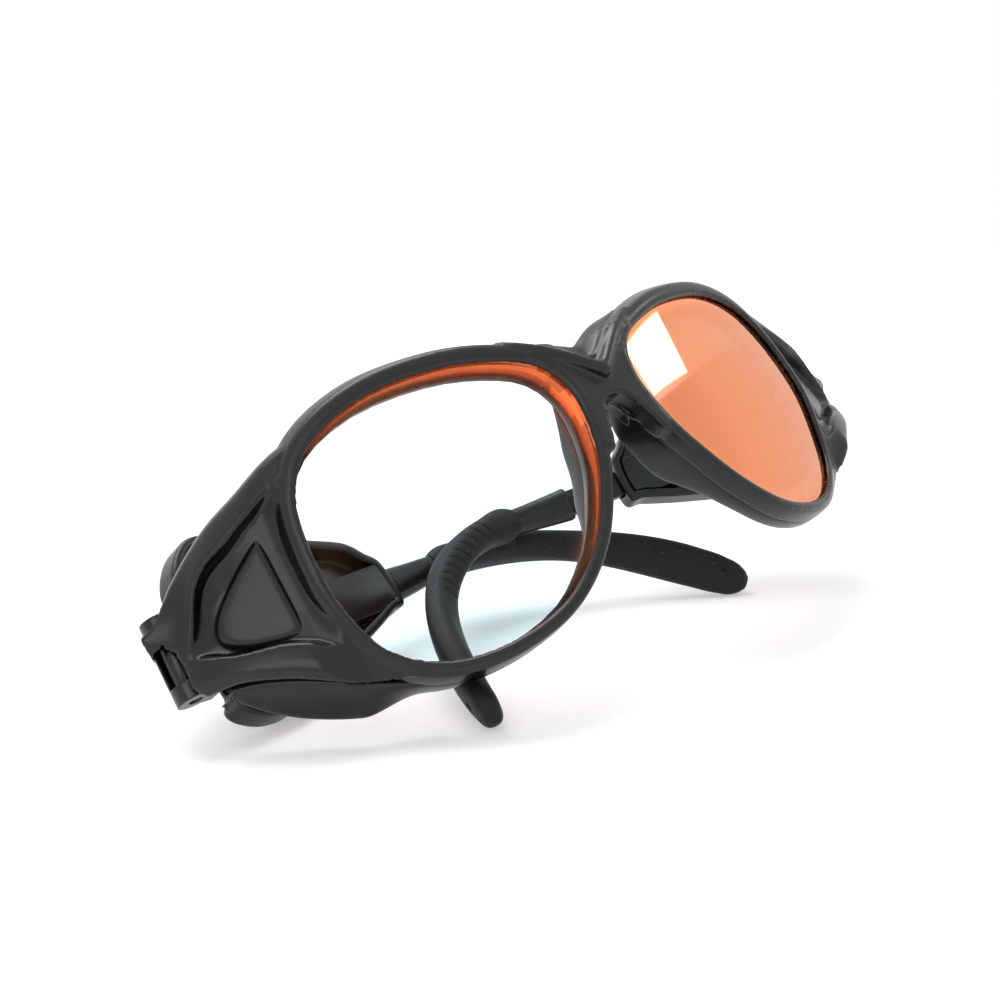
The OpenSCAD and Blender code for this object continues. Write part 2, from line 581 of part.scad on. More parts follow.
function arm_height(s) = arm_h + (arm_end_h - arm_h) * min(1, (s - head_end) / (tip_start - head_end));
arm_gap = .4;
arm_from = head_end + arm_gap;
core_from = head_end + 4;
core_to = tip_start + tip_len - 9;
core_rings = [for (s = [core_from:4:core_to]) s];
function core_ring(s, side, gap) = section(s, side, core_w + 2 * gap, core_t + 2 * gap);
arm_rings = [arm_from, arm_from + .6, arm_from + 3, arm_from + 6, arm_from + 9, tip_start - fit_gap];

module temple_arm(side) {
    difference() {
        loft([for (s = arm_rings) let (in = s == arm_from ? .6 : 0)
            section(s, side, arm_height(s) - in, arm_t - in)]);
        loft([for (s = [core_from - fit_gap, core_from + 4, core_from + 8, tip_start + 1])
            core_ring(s, side, fit_gap)]);
    }
    across(-bar_t / 2, bar_t / 2)
        translate([bar_start, -bar_h / 2]) square([arm_from + 1 - bar_start, bar_h]);
}

module core_wire(side) loft([for (s = core_rings) core_ring(s, side, 0)]);

// Ear tip: a sleeve with a closed round end and a hole for a cord
tip_share = [0, .012, .06, .12, .18, .24, .3, .36, .42, .48, .54, .6, .66, .72, .78, .84, .9, .95, .98, 1];
function tip_height(t) = lookup(t, [[0, tip_h - .8], [.012, tip_h], [.12, tip_h - .1], [.4, tip_h + .1],
    [.84, tip_end_h], [.94, tip_end_h - .9], [.98, tip_end_h - 2.8], [1, tip_end_h - 6]]);
function tip_thick(t) = lookup(t, [[0, tip_t - .5], [.012, tip_t], [.95, tip_t - .2], [.98, tip_t - 1],
    [1, tip_t - 2.6]]);
function tip_ring(t, side) = section(tip_start + t * tip_len, side, tip_height(t), tip_thick(t));
cord_hole_at = tip_start + tip_len - 5.5;
module ear_tip(side) difference() {
    sleeve([for (t = tip_share) tip_ring(t, side)],
        [for (s = [tip_start, for (c = core_rings) if (c > tip_start + 1) c, core_to + fit_gap])
            core_ring(s, side, fit_gap)]);
    cord_hole(side);
}

module cord_hole(side) {
    c = on_path(cord_hole_at, side);
    d = untilt(heading(cord_hole_at, side));
    x = unit(cross(d, untilt([0, 0, 1])));
    translate(c) rotate([0, acos(x.z), atan2(x.y, x.x)])
        cylinder(r = cord_hole_r, h = 12, center = true);
}

// Where a point of a temple lies on the worn frame, and how high it is when the frame leans
function folded(p, side) = let (a = side < 0 ? fold_left : fold_right, y = p.y - tilt_y,
    s = tilt_y + y * cos(tilt) - p.z * sin(tilt), z = y * sin(tilt) + p.z * cos(tilt))
    [side * (hinge_x + p.x * cos(a) - s * sin(a)), hinge_y + p.x * sin(a) + s * cos(a), z];
function leaned(p) = p.x * sin(lean_side) + cos(lean_side) * (p.z * cos(lean_back) - p.y * sin(lean_back));
// The glasses rest on the lowest points of the heads' edges and of the ear tips
tip_lows = [for (side = [-1, 1], t = tip_share, p = tip_ring(t, side))
    leaned(folded(p + [0, side < 0 ? slide_left : slide_right, 0], side))];
head_lows = [for (side = [-1, 1], e = head_line, w = [-head_inner, head_outer - head_bevel])
    leaned(folded([arm_off + w, e.x, e.y], side))];
rest_up = -min(concat(tip_lows, head_lows));
module at_rest() translate([rest_side, rest_back, rest_up])
    rotate([-lean_back, -lean_side, 0]) children();

module fold_in_left() mirror([1, 0, 0]) fold(fold_left) children();
module fold_in_right() fold(fold_right) children();
module on_left() fold_in_left() tilted() children();
module on_right() fold_in_right() tilted() children();
module slid_left() on_left() translate([0, slide_left, 0]) children();
module slid_right() on_right() translate([0, slide_right, 0]) children();
module black(k) color([k, k, k * 1.05]) children();
module lens_colour() color([.98, .66, .5, .6]) children();

at_rest() front_frame();
at_rest() lens_colour() mirror([1, 0, 0]) lens();  // left_lens
at_rest() lens_colour() lens();  // right_lens
at_rest() black(.16) mirror([1, 0, 0]) retainer();  // left_retainer
at_rest() black(.16) retainer();  // right_retainer
at_rest() black(.14) mirror([1, 0, 0]) side_panel();  // left_side_panel
at_rest() black(.14) side_panel();  // right_side_panel
at_rest() black(.12) mirror([1, 0, 0]) lower_guard();  // left_lower_guard
at_rest() black(.12) lower_guard();  // right_lower_guard
at_rest() black(.2) mirror([1, 0, 0]) hinge_bracket();  // left_hinge_bracket
at_rest() black(.2) hinge_bracket();  // right_hinge_bracket
at_rest() color("silver") mirror([1, 0, 0]) hinge_pin();  // left_hinge_pin
at_rest() color("silver") hinge_pin();  // right_hinge_pin
at_rest() black(.1) fold_in_left() yoke();  // left_yoke
at_rest() black(.1) fold_in_right() yoke();  // right_yoke
at_rest() color("silver") on_left() tilt_screw();  // left_tilt_screw
at_rest() color("silver") on_right() tilt_screw();  // right_tilt_screw
at_rest() black(.12) on_left() temple_head();  // left_temple_head
at_rest() black(.12) on_right() temple_head();  // right_temple_head
at_rest() black(.2) on_left() head_cover();  // left_head_cover
at_rest() black(.2) on_right() head_cover();  // right_head_cover
at_rest() black(.1) slid_left() temple_arm(-1);  // left_temple_arm
at_rest() black(.1) slid_right() temple_arm(1);  // right_temple_arm
at_rest() color("silver") slid_left() core_wire(-1);  // left_core_wire
at_rest() color("silver") slid_right() core_wire(1);  // right_core_wire
at_rest() black(.08) slid_left() ear_tip(-1);  // left_ear_tip
at_rest() black(.08) slid_right() ear_tip(1);  // right_ear_tip
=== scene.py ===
import json
import math
import bmesh
import bpy
import numpy as np
from mathutils import Matrix, Vector


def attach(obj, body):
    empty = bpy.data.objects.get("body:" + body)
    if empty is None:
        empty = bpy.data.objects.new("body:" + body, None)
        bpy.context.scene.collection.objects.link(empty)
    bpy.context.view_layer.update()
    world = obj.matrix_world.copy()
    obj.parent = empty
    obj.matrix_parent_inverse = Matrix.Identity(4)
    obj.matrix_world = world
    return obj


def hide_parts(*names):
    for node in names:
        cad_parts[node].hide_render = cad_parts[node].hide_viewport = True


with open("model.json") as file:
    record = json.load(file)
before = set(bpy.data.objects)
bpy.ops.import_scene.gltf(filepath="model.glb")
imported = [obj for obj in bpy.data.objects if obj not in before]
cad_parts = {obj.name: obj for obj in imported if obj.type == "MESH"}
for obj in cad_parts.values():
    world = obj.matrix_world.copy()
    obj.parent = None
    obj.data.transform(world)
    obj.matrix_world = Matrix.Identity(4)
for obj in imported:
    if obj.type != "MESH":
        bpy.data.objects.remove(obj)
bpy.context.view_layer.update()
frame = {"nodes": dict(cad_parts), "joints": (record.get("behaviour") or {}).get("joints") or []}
perMetre = 1000  # shapes are in mm, the scene in metres

# The glasses are shaped as they are worn, in mm: X to the side, Y back and Z up from the bridge.
# The hinge joints give that frame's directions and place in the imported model.
hinge = {"behind": 33.3, "height": -0.4,  # fold axes from the bridge
         "tiltAt": 9.0,  # tilt axis behind the fold axis
         "armOff": 0.7,  # middle of the arm, outwards of the fold axis
         "earRoom": 3.35, "earRoomHigh": 30}  # radius and half height kept free round the fold axis
joints = {j["name"]: j for j in frame["joints"]}
leftPin, rightPin = (np.array(joints[s + "_fold"]["pos_m"]) * perMetre for s in ("left", "right"))
wornUp = np.array(joints["left_fold"]["axis"])
wornSide = (rightPin - leftPin) / np.linalg.norm(rightPin - leftPin)
wornBack = np.cross(wornUp, wornSide)
worn = np.stack([wornSide, wornBack, wornUp])
hinge["out"] = np.linalg.norm(rightPin - leftPin) / 2
bridge = (leftPin + rightPin) / 2 - wornBack * hinge["behind"] - wornUp * hinge["height"]


def templePose(name, side):
    # fold and tilt of a temple from the direction its arm slides in, and how far the arm is out
    slide = joints[name + "_slide"]
    v = worn @ np.array(slide["axis"])
    fold = math.atan2(-side * v[0], v[1])
    return {"name": name, "side": side, "fold": fold, "tilt": math.asin(v[2]),
            "out": -slide["range_m"][0] * perMetre}


temples = [templePose("left", -1), templePose("right", 1)]
print("worn frame found, fold axes", round(hinge["out"] * 2, 1), "mm apart")


# Curves and surfaces in numpy

def cubic(a, b, c, d, f):
    # from b to c as f goes from 0 to 1, each slope half the way between the point's neighbours
    return .5 * (2 * b + (c - a) * f + (2 * a - 5 * b + 4 * c - d) * f**2 + (3 * b - a - 3 * c + d) * f**3)


def closedCurve(points, at):
    # cubic through the points of a ring, at places counted in points
    p = np.asarray(points, float)
    i = np.floor(at).astype(int)
    return cubic(*(p[(i + k) % len(p)] for k in (-1, 0, 1, 2)), (at - i)[:, None])


def openCurve(points, at):
    # cubic through rows of points with free ends, at places counted in rows
    p = np.asarray(points, float)
    last = len(p) - 1
    i = np.clip(np.floor(at).astype(int), 0, last - 1)
    f = (at - i).reshape((-1,) + (1,) * (p.ndim - 1))
    b, c = p[i], p[i + 1]
    a = np.where(i.reshape(f.shape) > 0, p[np.maximum(i - 1, 0)], 2 * b - c)
    d = np.where(i.reshape(f.shape) < last - 1, p[np.minimum(i + 2, last)], 2 * c - b)
    return cubic(a, b, c, d, f)


def along(x, table):
    # cubic through a table's values, each slope taken from its neighbours
    xs, ys = np.array(table, float).T
    x = np.clip(np.asarray(x, float), xs[0], xs[-1])
    i = np.clip(np.searchsorted(xs, x, side="right") - 1, 0, len(xs) - 2)
    h, m = xs[i + 1] - xs[i], np.gradient(ys, xs)
    t = (x - xs[i]) / h
    return ((2 * t**3 - 3 * t**2 + 1) * ys[i] + (t**3 - 2 * t**2 + t) * h * m[i]
            + (3 * t**2 - 2 * t**3) * ys[i + 1] + (t**3 - t**2) * h * m[i + 1])


def straight(x, table):
    # straight lines through a table's values
    xs, ys = np.array(table, float).T
    return np.interp(x, xs, ys)


def cornersCut(rings, times):
    # each ring's corners cut at a quarter and three quarters of its sides, again and again
    for _ in range(times):
        following = np.roll(rings, -1, axis=1)
        rings = np.stack([.75 * rings + .25 * following, .25 * rings + .75 * following], 2)
        rings = rings.reshape(rings.shape[0], -1, 3)
    return rings


def unit(v):
    # directions of length 1
    return v / np.linalg.norm(v, axis=-1, keepdims=True)


def circle(count):
    # even angles once round
    return np.linspace(0, 2 * math.pi, count, endpoint=False)


def wornToRow(points):
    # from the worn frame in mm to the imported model's frame in metres
    return (bridge + points @ worn) / perMetre


def templeToWorn(points, pose, slid):
    # outwards, along and up a temple, from its fold axis: slid, tilted, folded and set at the hinge
    x, y, z = np.moveaxis(points, -1, 0)
    y = y + slid - hinge["tiltAt"]
    s = hinge["tiltAt"] + y * math.cos(pose["tilt"]) - z * math.sin(pose["tilt"])
    up = y * math.sin(pose["tilt"]) + z * math.cos(pose["tilt"])
    a = pose["fold"]
    return np.stack([pose["side"] * (hinge["out"] + x * math.cos(a) - s * math.sin(a)),
                     hinge["behind"] + x * math.sin(a) + s * math.cos(a), up], -1)


def templePlace(pose, slid=0.0):
    # the way of a temple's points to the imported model's frame
    def place(points):
        return wornToRow(templeToWorn(points, pose, slid))
    return place


# Meshes

def gridFaces(rows, columns, closed):
    # faces between neighbouring rings; closed joins the last ring to the first
    j, i = np.meshgrid(np.arange(rows - (0 if closed else 1)), np.arange(columns), indexing="ij")
    a, b = j * columns + i, j * columns + (i + 1) % columns
    up = ((j + 1) % rows) * columns
    return np.stack([a, up + i, up + (i + 1) % columns, b], -1).reshape(-1, 4).tolist()


def skinned(rings, closed=False):
    # points and faces of a surface over rings, with a fan to the middle of each open end
    rows, columns = rings.shape[:2]
    points = rings.reshape(-1, 3)
    faces = gridFaces(rows, columns, closed)
    if not closed:
        points = np.concatenate([points, rings[0].mean(0)[None], rings[-1].mean(0)[None]])
        i = np.arange(columns)
        first, last = rows * columns, rows * columns + 1
        end = (rows - 1) * columns
        faces += np.stack([(i + 1) % columns, np.full(columns, first), i], -1).tolist()
        faces += np.stack([end + i, np.full(columns, last), end + (i + 1) % columns], -1).tolist()
    return points, faces


def joined(*parts):
    # several points and faces as one
    points, faces, n = [], [], 0
    for p, f in parts:
        points.append(p)
        faces += [[v + n for v in face] for face in f]
        n += len(p)
    return np.concatenate(points), faces


def mirrored(part):
    # across the middle plane, with each face turned round
    return part[0] * [-1, 1, 1], [face[::-1] for face in part[1]]


def bothSides(part):
    # a part made for the right side, and its mirror image for the left
    return ("right", part), ("left", mirrored(part))


def boxed(low, high):
    # a box between two corners
    corners = np.array([[x, y, z] for x in (low[0], high[0]) for y in (low[1], high[1])
                        for z in (low[2], high[2])], float)
    return corners, [[0, 1, 3, 2], [4, 6, 7, 5], [0, 4, 5, 1], [2, 3, 7, 6], [0, 2, 6, 4], [1, 5, 7, 3]]


def linked(name, data):
    # a new object of this mesh, lamp or camera in the scene
    obj = bpy.data.objects.new(name, data)
    bpy.context.scene.collection.objects.link(obj)
    return obj


def made(name, part, place=wornToRow):
    # an object from points and faces, with its faces turned outwards
    mesh = bpy.data.meshes.new(name)
    mesh.from_pydata(place(part[0]).tolist(), [], part[1])
    bm = bmesh.new()
    bm.from_mesh(mesh)
    bmesh.ops.recalc_face_normals(bm, faces=bm.faces)
    bm.to_mesh(mesh)
    bm.free()
    mesh.shade_smooth()
    return linked(name, mesh)


def settled(obj):
    # the modifiers' result becomes the mesh
    graph = bpy.context.evaluated_depsgraph_get()
    graph.update()
    mesh = bpy.data.meshes.new_from_object(obj.evaluated_get(graph))
    obj.modifiers.clear()
    obj.data = mesh


def cutBy(obj, tool):
    # takes the tool's solid out of the object
    cut = obj.modifiers.new("cut", "BOOLEAN")
    cut.operation, cut.object, cut.solver, cut.use_self = "DIFFERENCE", tool, "EXACT", True
    settled(obj)
    bpy.data.objects.remove(tool)


def smoothing(obj, name, passes):
    # draws each point halfway to the middle of its neighbours, this many times
    smooth = obj.modifiers.new(name, "SMOOTH")
    smooth.factor, smooth.iterations = .5, passes


def moulded(obj, skin):
    # one skin round all the object's solids, drawn back onto them, with softened edges as a moulding has
    form = linked("form", obj.data.copy())
    melt = obj.modifiers.new("melt", "REMESH")
    melt.mode, melt.voxel_size, melt.use_smooth_shade = "VOXEL", skin["voxel"] / perMetre, True
    smoothing(obj, "even", skin["passes"])
    snug = obj.modifiers.new("snug", "SHRINKWRAP")
    snug.target, snug.wrap_method = form, "NEAREST_SURFACEPOINT"
    smoothing(obj, "round", skin["passes"])
    settled(obj)
    bpy.data.objects.remove(form)
    obj.data.shade_smooth()


def bevelled(obj, width, angle, evenShading):
    # two-step bevels on the edges sharper than the angle
    edge = obj.modifiers.new("edge", "BEVEL")
    edge.width, edge.segments = width / perMetre, 2
    edge.limit_method, edge.angle_limit = "ANGLE", math.radians(angle)
    edge.harden_normals = evenShading
    settled(obj)


def sharpFrom(obj, angle):
    # edges with a larger angle are shaded sharp
    obj.data.set_sharp_from_angle(angle=math.radians(angle))


cadEdges = {"mergeWithin": 2e-6, "flatBelow": 1, "bevelFrom": 35, "sharpFrom": 40}  # metres and degrees


def cadCopy(name, node, bevel):
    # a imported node's mesh, merged and given small bevels
    obj = linked(name, frame["nodes"][node].data.copy())
    bm = bmesh.new()
    bm.from_mesh(obj.data)
    bmesh.ops.remove_doubles(bm, verts=bm.verts, dist=cadEdges["mergeWithin"])
    flat = math.radians(cadEdges["flatBelow"])
    bmesh.ops.dissolve_limit(bm, angle_limit=flat, verts=bm.verts, edges=bm.edges)
    bm.to_mesh(obj.data)
    bm.free()
    obj.data.shade_smooth()
    if bevel:
        bevelled(obj, bevel, cadEdges["bevelFrom"], True)
    sharpFrom(obj, cadEdges["sharpFrom"])
    return obj


def dressed(obj, body, node, finish):
    # the piece gets its finish and rides on its body, and the node it stands for is hidden
    obj.data.materials.clear()
    obj.data.materials.append(finish)
    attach(obj, body)
    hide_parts(node)


# Materials: one small class wraps a socket, so that shader maths reads as plain maths

class Wire:
    # an output socket: +, -, * and > add their Math nodes
    def __init__(self, finish, socket):
        self.finish, self.socket = finish, socket

    def __add__(self, other):
        return self.finish.maths("ADD", self, other)

    def __radd__(self, other):
        return self.finish.maths("ADD", other, self)

    def __sub__(self, other):
        return self.finish.maths("SUBTRACT", self, other)

    def __rsub__(self, other):
        return self.finish.maths("SUBTRACT", other, self)

    def __mul__(self, other):
        return self.finish.maths("MULTIPLY", self, other)

    def __rmul__(self, other):
        return self.finish.maths("MULTIPLY", other, self)

    def __gt__(self, other):
        return self.finish.maths("GREATER_THAN", self, other)


def setStops(ramp, stops):
    # grey stops, each given as its place and its level
    while len(ramp) < len(stops):
        ramp.new(.5)
    for stop, (at, level) in zip(ramp, stops):
        stop.position, stop.color = at, (level, level, level, 1)


class Finish:
    # the nodes of a material or of the world, made anew
    def __init__(self, owner):
        owner.use_nodes = True
        self.owner, self.tree = owner, owner.node_tree
        self.tree.nodes.clear()

    def node(self, kind, settings=None, sockets=None, out=0):
        # any node: its settings first, then a value or a wire for each named socket
        n = self.tree.nodes.new(kind)
        for key, value in (settings or {}).items():
            if key == "stops":
                setStops(n.color_ramp.elements, value)
            else:
                setattr(n, key, value)
        for key, value in (sockets or {}).items():
            if isinstance(value, Wire):
                self.tree.links.new(value.socket, n.inputs[key])
            else:
                n.inputs[key].default_value = value
        return None if out is None else Wire(self, n.outputs[out])

    def maths(self, operation, a, b, clamp=False):
        return self.node("ShaderNodeMath", {"operation": operation, "use_clamp": clamp}, {0: a, 1: b})

    def place(self):
        return self.node("ShaderNodeTexCoord", out="Object")

    def noise(self, scale, detail=3.0, roughness=.55):
        return self.node("ShaderNodeTexNoise", {}, {"Vector": self.place(), "Scale": scale,
                                                    "Detail": detail, "Roughness": roughness})

    def mix(self, factor, a, b):
        return self.node("ShaderNodeMix", {"data_type": "RGBA"}, {0: factor, 6: a, 7: b}, out=2)

    def bump(self, height, look):
        return self.node("ShaderNodeBump", {}, {"Height": height, "Strength": look["bump"],
                                                "Distance": look["bumpHigh"]})

    def surface(self, shader):
        self.node("ShaderNodeOutputMaterial", {}, {"Surface": shader}, out=None)
        return self.owner

    def plain(self, **sockets):
        return self.node("ShaderNodeBsdfPrincipled", {}, sockets)


def newFinish(name):
    # the nodes of a new material
    return Finish(bpy.data.materials.new(name))


def grey(v, tint=(1, 1, 1)):
    # one level, tinted
    return (v * tint[0], v * tint[1], v * tint[2], 1)


# Noises are given as scale, detail and roughness, and the height of a bump in metres
mould = {"black": .003, "blackTint": (1, 1.03, 1.12), "pale": .0052, "paleTint": (1.02, 1, .98),
         "grain": (2600, 2), "marks": (70, 4, .6), "rough": .21, "marksRough": .12, "gloss": .42,
         "bump": .12, "bumpHigh": .00005}


def mouldedBlack(name, shade=1.0, rougher=0.0):
    # satin black moulding: a fine grain, and faint handling marks that change its gloss
    f = newFinish(name)
    grain, marks = f.noise(*mould["grain"]), f.noise(*mould["marks"])
    colour = f.mix(marks, grey(mould["black"] * shade, mould["blackTint"]),
                   grey(mould["pale"] * shade, mould["paleTint"]))
    rough = marks * mould["marksRough"] + (mould["rough"] + rougher)
    return f.surface(f.plain(**{"Base Color": colour, "Roughness": rough,
                                "Specular IOR Level": mould["gloss"], "Normal": f.bump(grain, mould)}))


sleeve = {"dark": .006, "darkTint": (.85, 1.1, 1), "pale": .015, "paleTint": (.88, 1.08, 1),
          "marks": (120, 5, .65), "dust": (1500, 2, .5), "dustFrom": .715, "dustShare": .5, "dustLevel": .16,
          "fine": (4200, 2), "rough": .5, "marksRough": .2, "gloss": .28, "bump": .25, "bumpHigh": .00008}


def rubberBlack():
    # greenish black rubber with a matt skin and specks of pale dust
    f = newFinish("earRubber")
    marks, dust, fine = (f.noise(*sleeve[k]) for k in ("marks", "dust", "fine"))
    skin = f.mix(marks, grey(sleeve["dark"], sleeve["darkTint"]), grey(sleeve["pale"], sleeve["paleTint"]))
    colour = f.mix((dust > sleeve["dustFrom"]) * sleeve["dustShare"], skin, grey(sleeve["dustLevel"]))
    rough = marks * sleeve["marksRough"] + sleeve["rough"]
    return f.surface(f.plain(**{"Base Color": colour, "Roughness": rough,
                                "Specular IOR Level": sleeve["gloss"],
                                "Normal": f.bump(fine + dust * .6, sleeve)}))


metal = {"level": .55, "streaks": (900, 3), "rough": .24, "streaksRough": .15,
         "bump": .1, "bumpHigh": .00003}


def steel():
    # plain steel with faint streaks in its gloss
    f = newFinish("pinSteel")
    streaks = f.noise(*metal["streaks"])
    rough = streaks * metal["streaksRough"] + metal["rough"]
    return f.surface(f.plain(**{"Base Color": grey(metal["level"]), "Metallic": 1.0, "Roughness": rough,
                                "Normal": f.bump(streaks, metal)}))


# How much of the coating is seen: by the Layer Weight's facing, and at the plate's edge, where more orange
# reflection is painted in
filterCoat = {"clear": (.9, .98, 1, 1), "coat": (1, .35, .16, 1), "rough": .03, "edge": .65,
              "facing": ((0, .004), (.16, .006), (.27, .1), (.36, .62), (.5, .85))}


def coatedLens():
    # clear filter whose coating throws back orange light, the more the flatter it is looked at,
    # and with a painted reflection that adds more of it towards the upper and nasal edge
    f = newFinish("filterLens")
    facing = f.node("ShaderNodeLayerWeight", {}, {"Blend": .5}, out="Facing")
    amount = f.node("ShaderNodeValToRGB", {"stops": filterCoat["facing"]}, {"Fac": facing})
    # painted reflection: the mask adds more of the orange coat towards the upper and nasal edge
    band = f.node("ShaderNodeAttribute", {"attribute_name": "band"}, out="Fac")
    total = f.maths("ADD", amount, band * filterCoat["edge"], clamp=True)
    through = f.node("ShaderNodeBsdfTransparent", {}, {"Color": filterCoat["clear"]})
    coat = f.plain(**{"Base Color": filterCoat["coat"], "Metallic": 1.0, "Roughness": filterCoat["rough"]})
    return f.surface(f.node("ShaderNodeMixShader", {}, {0: total, 1: through, 2: coat}))


nylon = mouldedBlack("frameNylon")
headNylon = mouldedBlack("templeNylon", .95, .03)
guardNylon = mouldedBlack("guardNylon", .85, -.02)
hingeBlack = mouldedBlack("hingeNylon", .9, -.06)
rubber = rubberBlack()
pinSteel = steel()
lensGlass = coatedLens()
print("materials made")


# Lens outline, in shares of its half width and half height, and the face curve
lensShape = [[1, .03], [.95, .5], [.74, .83], [.32, .985], [-.2, .96], [-.6, .845], [-.88, .68],
             [-.995, .4], [-.955, .05], [-.84, -.26], [-.59, -.65], [-.25, -.92], [.15, -1], [.53, -.92],
             [.82, -.67], [.96, -.3]]
lens = {"x": 30.5, "z": -.2, "halfWide": 23.5, "halfHigh": 22.0, "thick": 3.0, "around": 192,
        "faceR": 105.0, "faceAt": 1.4, "sweep": .0043, "sweepBlend": 16}
outlineSteps = 3  # places round the lens are counted three to a point of its outline, from the side


def lensPlaces(count):
    # even places once round the lens
    return np.linspace(0, outlineSteps * len(lensShape), count, endpoint=False)


def faceY(x, z):
    # an arc back to both sides, swept back further the lower the point lies
    x = np.abs(x)
    low = (np.sqrt(z * z + lens["sweepBlend"]) - z) / 2
    return lens["faceAt"] + x * x / (2 * lens["faceR"]) + lens["sweep"] * x * low


def lensLine(i):
    # the lens outline in X and Z, a cubic through its points
    line = closedCurve(lensShape, i / outlineSteps)
    return line * [lens["halfWide"], lens["halfHigh"]] + [lens["x"], lens["z"]]


def outlineAt(i):
    # points of the lens outline and their outward directions
    i = np.asarray(i, float)
    d = unit(lensLine(i + .5) - lensLine(i - .5))
    return lensLine(i), np.stack([d[:, 1], -d[:, 0]], -1)


def rimPoints(i, g, d):
    # grown outwards by g and set back by d from the face curve
    p, out = outlineAt(i)
    p = p + out * np.broadcast_to(g, i.shape)[:, None]
    return np.stack([p[:, 0], faceY(p[:, 0], p[:, 1]) + d, p[:, 1]], -1)


rim = {"lip": 1.2, "cover": 1.1, "wide": 2.3, "backWide": 2.5, "brow": 1.0, "browBack": 2.6, "deep": 7.0,
       "lap": .75, "guardAt": 4.0, "around": 288, "skin": {"voxel": .38, "passes": 5},
       "guarded": [[0, 0], [20.1, 0], [20.8, 1], [40.2, 1], [41, 0], [48, 0]]}  # 1 where the guard laps over
lensCut = {"around": 144, "front": -4, "back": 21.0, "mouth": .7}


def browShare(i):
    # 0 on the lower half, rising to 1 at the top of the outline
    return np.maximum(0, outlineAt(i)[1][:, 1])**1.5


def backWidth(i):
    # the rim's width at its back, wider under the brow
    return rim["backWide"] + rim["browBack"] * browShare(i)


def rimRing():
    # the rim's section carried round the lens outline: bevelled mouth, lip, pocket, and guard step
    i = lensPlaces(rim["around"])
    front, back = rim["wide"] + rim["brow"] * browShare(i), backWidth(i)
    step = back - straight(i, rim["guarded"]) * rim["lap"]
    cover, lip, deep, guardAt = rim["cover"], rim["lip"], rim["deep"], rim["guardAt"]
    face = [(.65, 0), (front * .55, -.08), (front - .9, 0), (front - .35, .15), (front, .6)]
    side = [((front + back) / 2 + .05, 2.2), (back, guardAt), (step, guardAt), (step - .1, 6.4),
            (step - .5, deep)]
    pocket = [(cover + .3, deep), (cover, 6.6), (cover, lip), (.15, lip), (0, .7)]
    return skinned(np.stack([rimPoints(i, g, d) for g, d in face + side + pocket], 0), closed=True)


def lensRoom():
    # everything in front of, in and behind the lens, open to both sides
    i = lensPlaces(lensCut["around"])
    cover, lip, mouth = rim["cover"], rim["lip"], lensCut["mouth"]
    profile = [(mouth, lensCut["front"]), (mouth, -.05), (0, .7), (.15, lip), (cover, lip),
               (cover, lensCut["back"])]
    return skinned(np.stack([rimPoints(i, g, d) for g, d in profile], 0))


# Side web: sections along the side, from inside the rim to the hinge. The tables run over the share
# of that way, and give edges in shares of the lens's half height, and depths in mm.
web = {"reach": 2.65, "ahead": 2.55, "pit": 2.6, "startBack": 1.2, "from": -.28, "to": 1.06, "sections": 90,
       "top": [[-.28, 1.045], [0, .985], [.25, .87], [.49, .76], [.78, .54], [1, .33], [1.06, .3]],
       "rib": [[-.28, .93], [.1, .66], [.38, .5], [.65, .33], [.82, .0], [1.06, -.02]],
       "low": [[-.28, -.72], [.045, -.53], [.285, -.34], [.61, -.21], [.82, -.1], [1.06, -.08]],
       "end": [[-.28, -.97], [.084, -.79], [.43, -.53], [.69, -.39], [.9, -.35], [1, -.33], [1.06, -.325]],
       "crest": [[-.28, .1], [.2, .6], [.9, .35], [1.06, .8]],
       "bevel": [[-.28, -.7], [.85, -.7], [1.06, 0]],
       "thick": [[0, 1.7], [.6, 1.7], [.85, 1], [1.06, 1]],
       "topMore": [[0, .6], [.6, .6], [.85, .1], [1.06, .1]],
       "sink": [[-.28, 0], [.9, 0], [.98, .9], [1.06, 2]],
       "pitShare": [[-.28, -.3], [-.1, -.3], [0, -.25], [.04, .1], [.1, .6], [.16, .9], [.22, 1],
                    [.74, 1], [.8, .5], [.86, .1], [.9, 0], [1.06, 0]],
       "tucked": [[-.02, 1], [.22, 0]], "tuckedBy": .5}
lensSide = lens["x"] + lens["halfWide"]
sideFrom = np.array([lensSide, faceY(lensSide, 0) + web["startBack"]])
sideTo = np.array([hinge["out"] + web["reach"], hinge["behind"] - web["ahead"]])
sideLong = np.linalg.norm(sideTo - sideFrom)
sideDir = (sideTo - sideFrom) / sideLong
sideOut = np.array([sideDir[1], -sideDir[0]])


def sidePoints(f, z, q):
    # share f of the way to the hinge, height z, and q outwards from the side plane
    p = sideFrom + np.multiply.outer(f * sideLong, sideDir) + np.multiply.outer(q, sideOut)
    return np.stack([p[..., 0], p[..., 1], np.broadcast_to(z, p.shape[:-1])], -1)


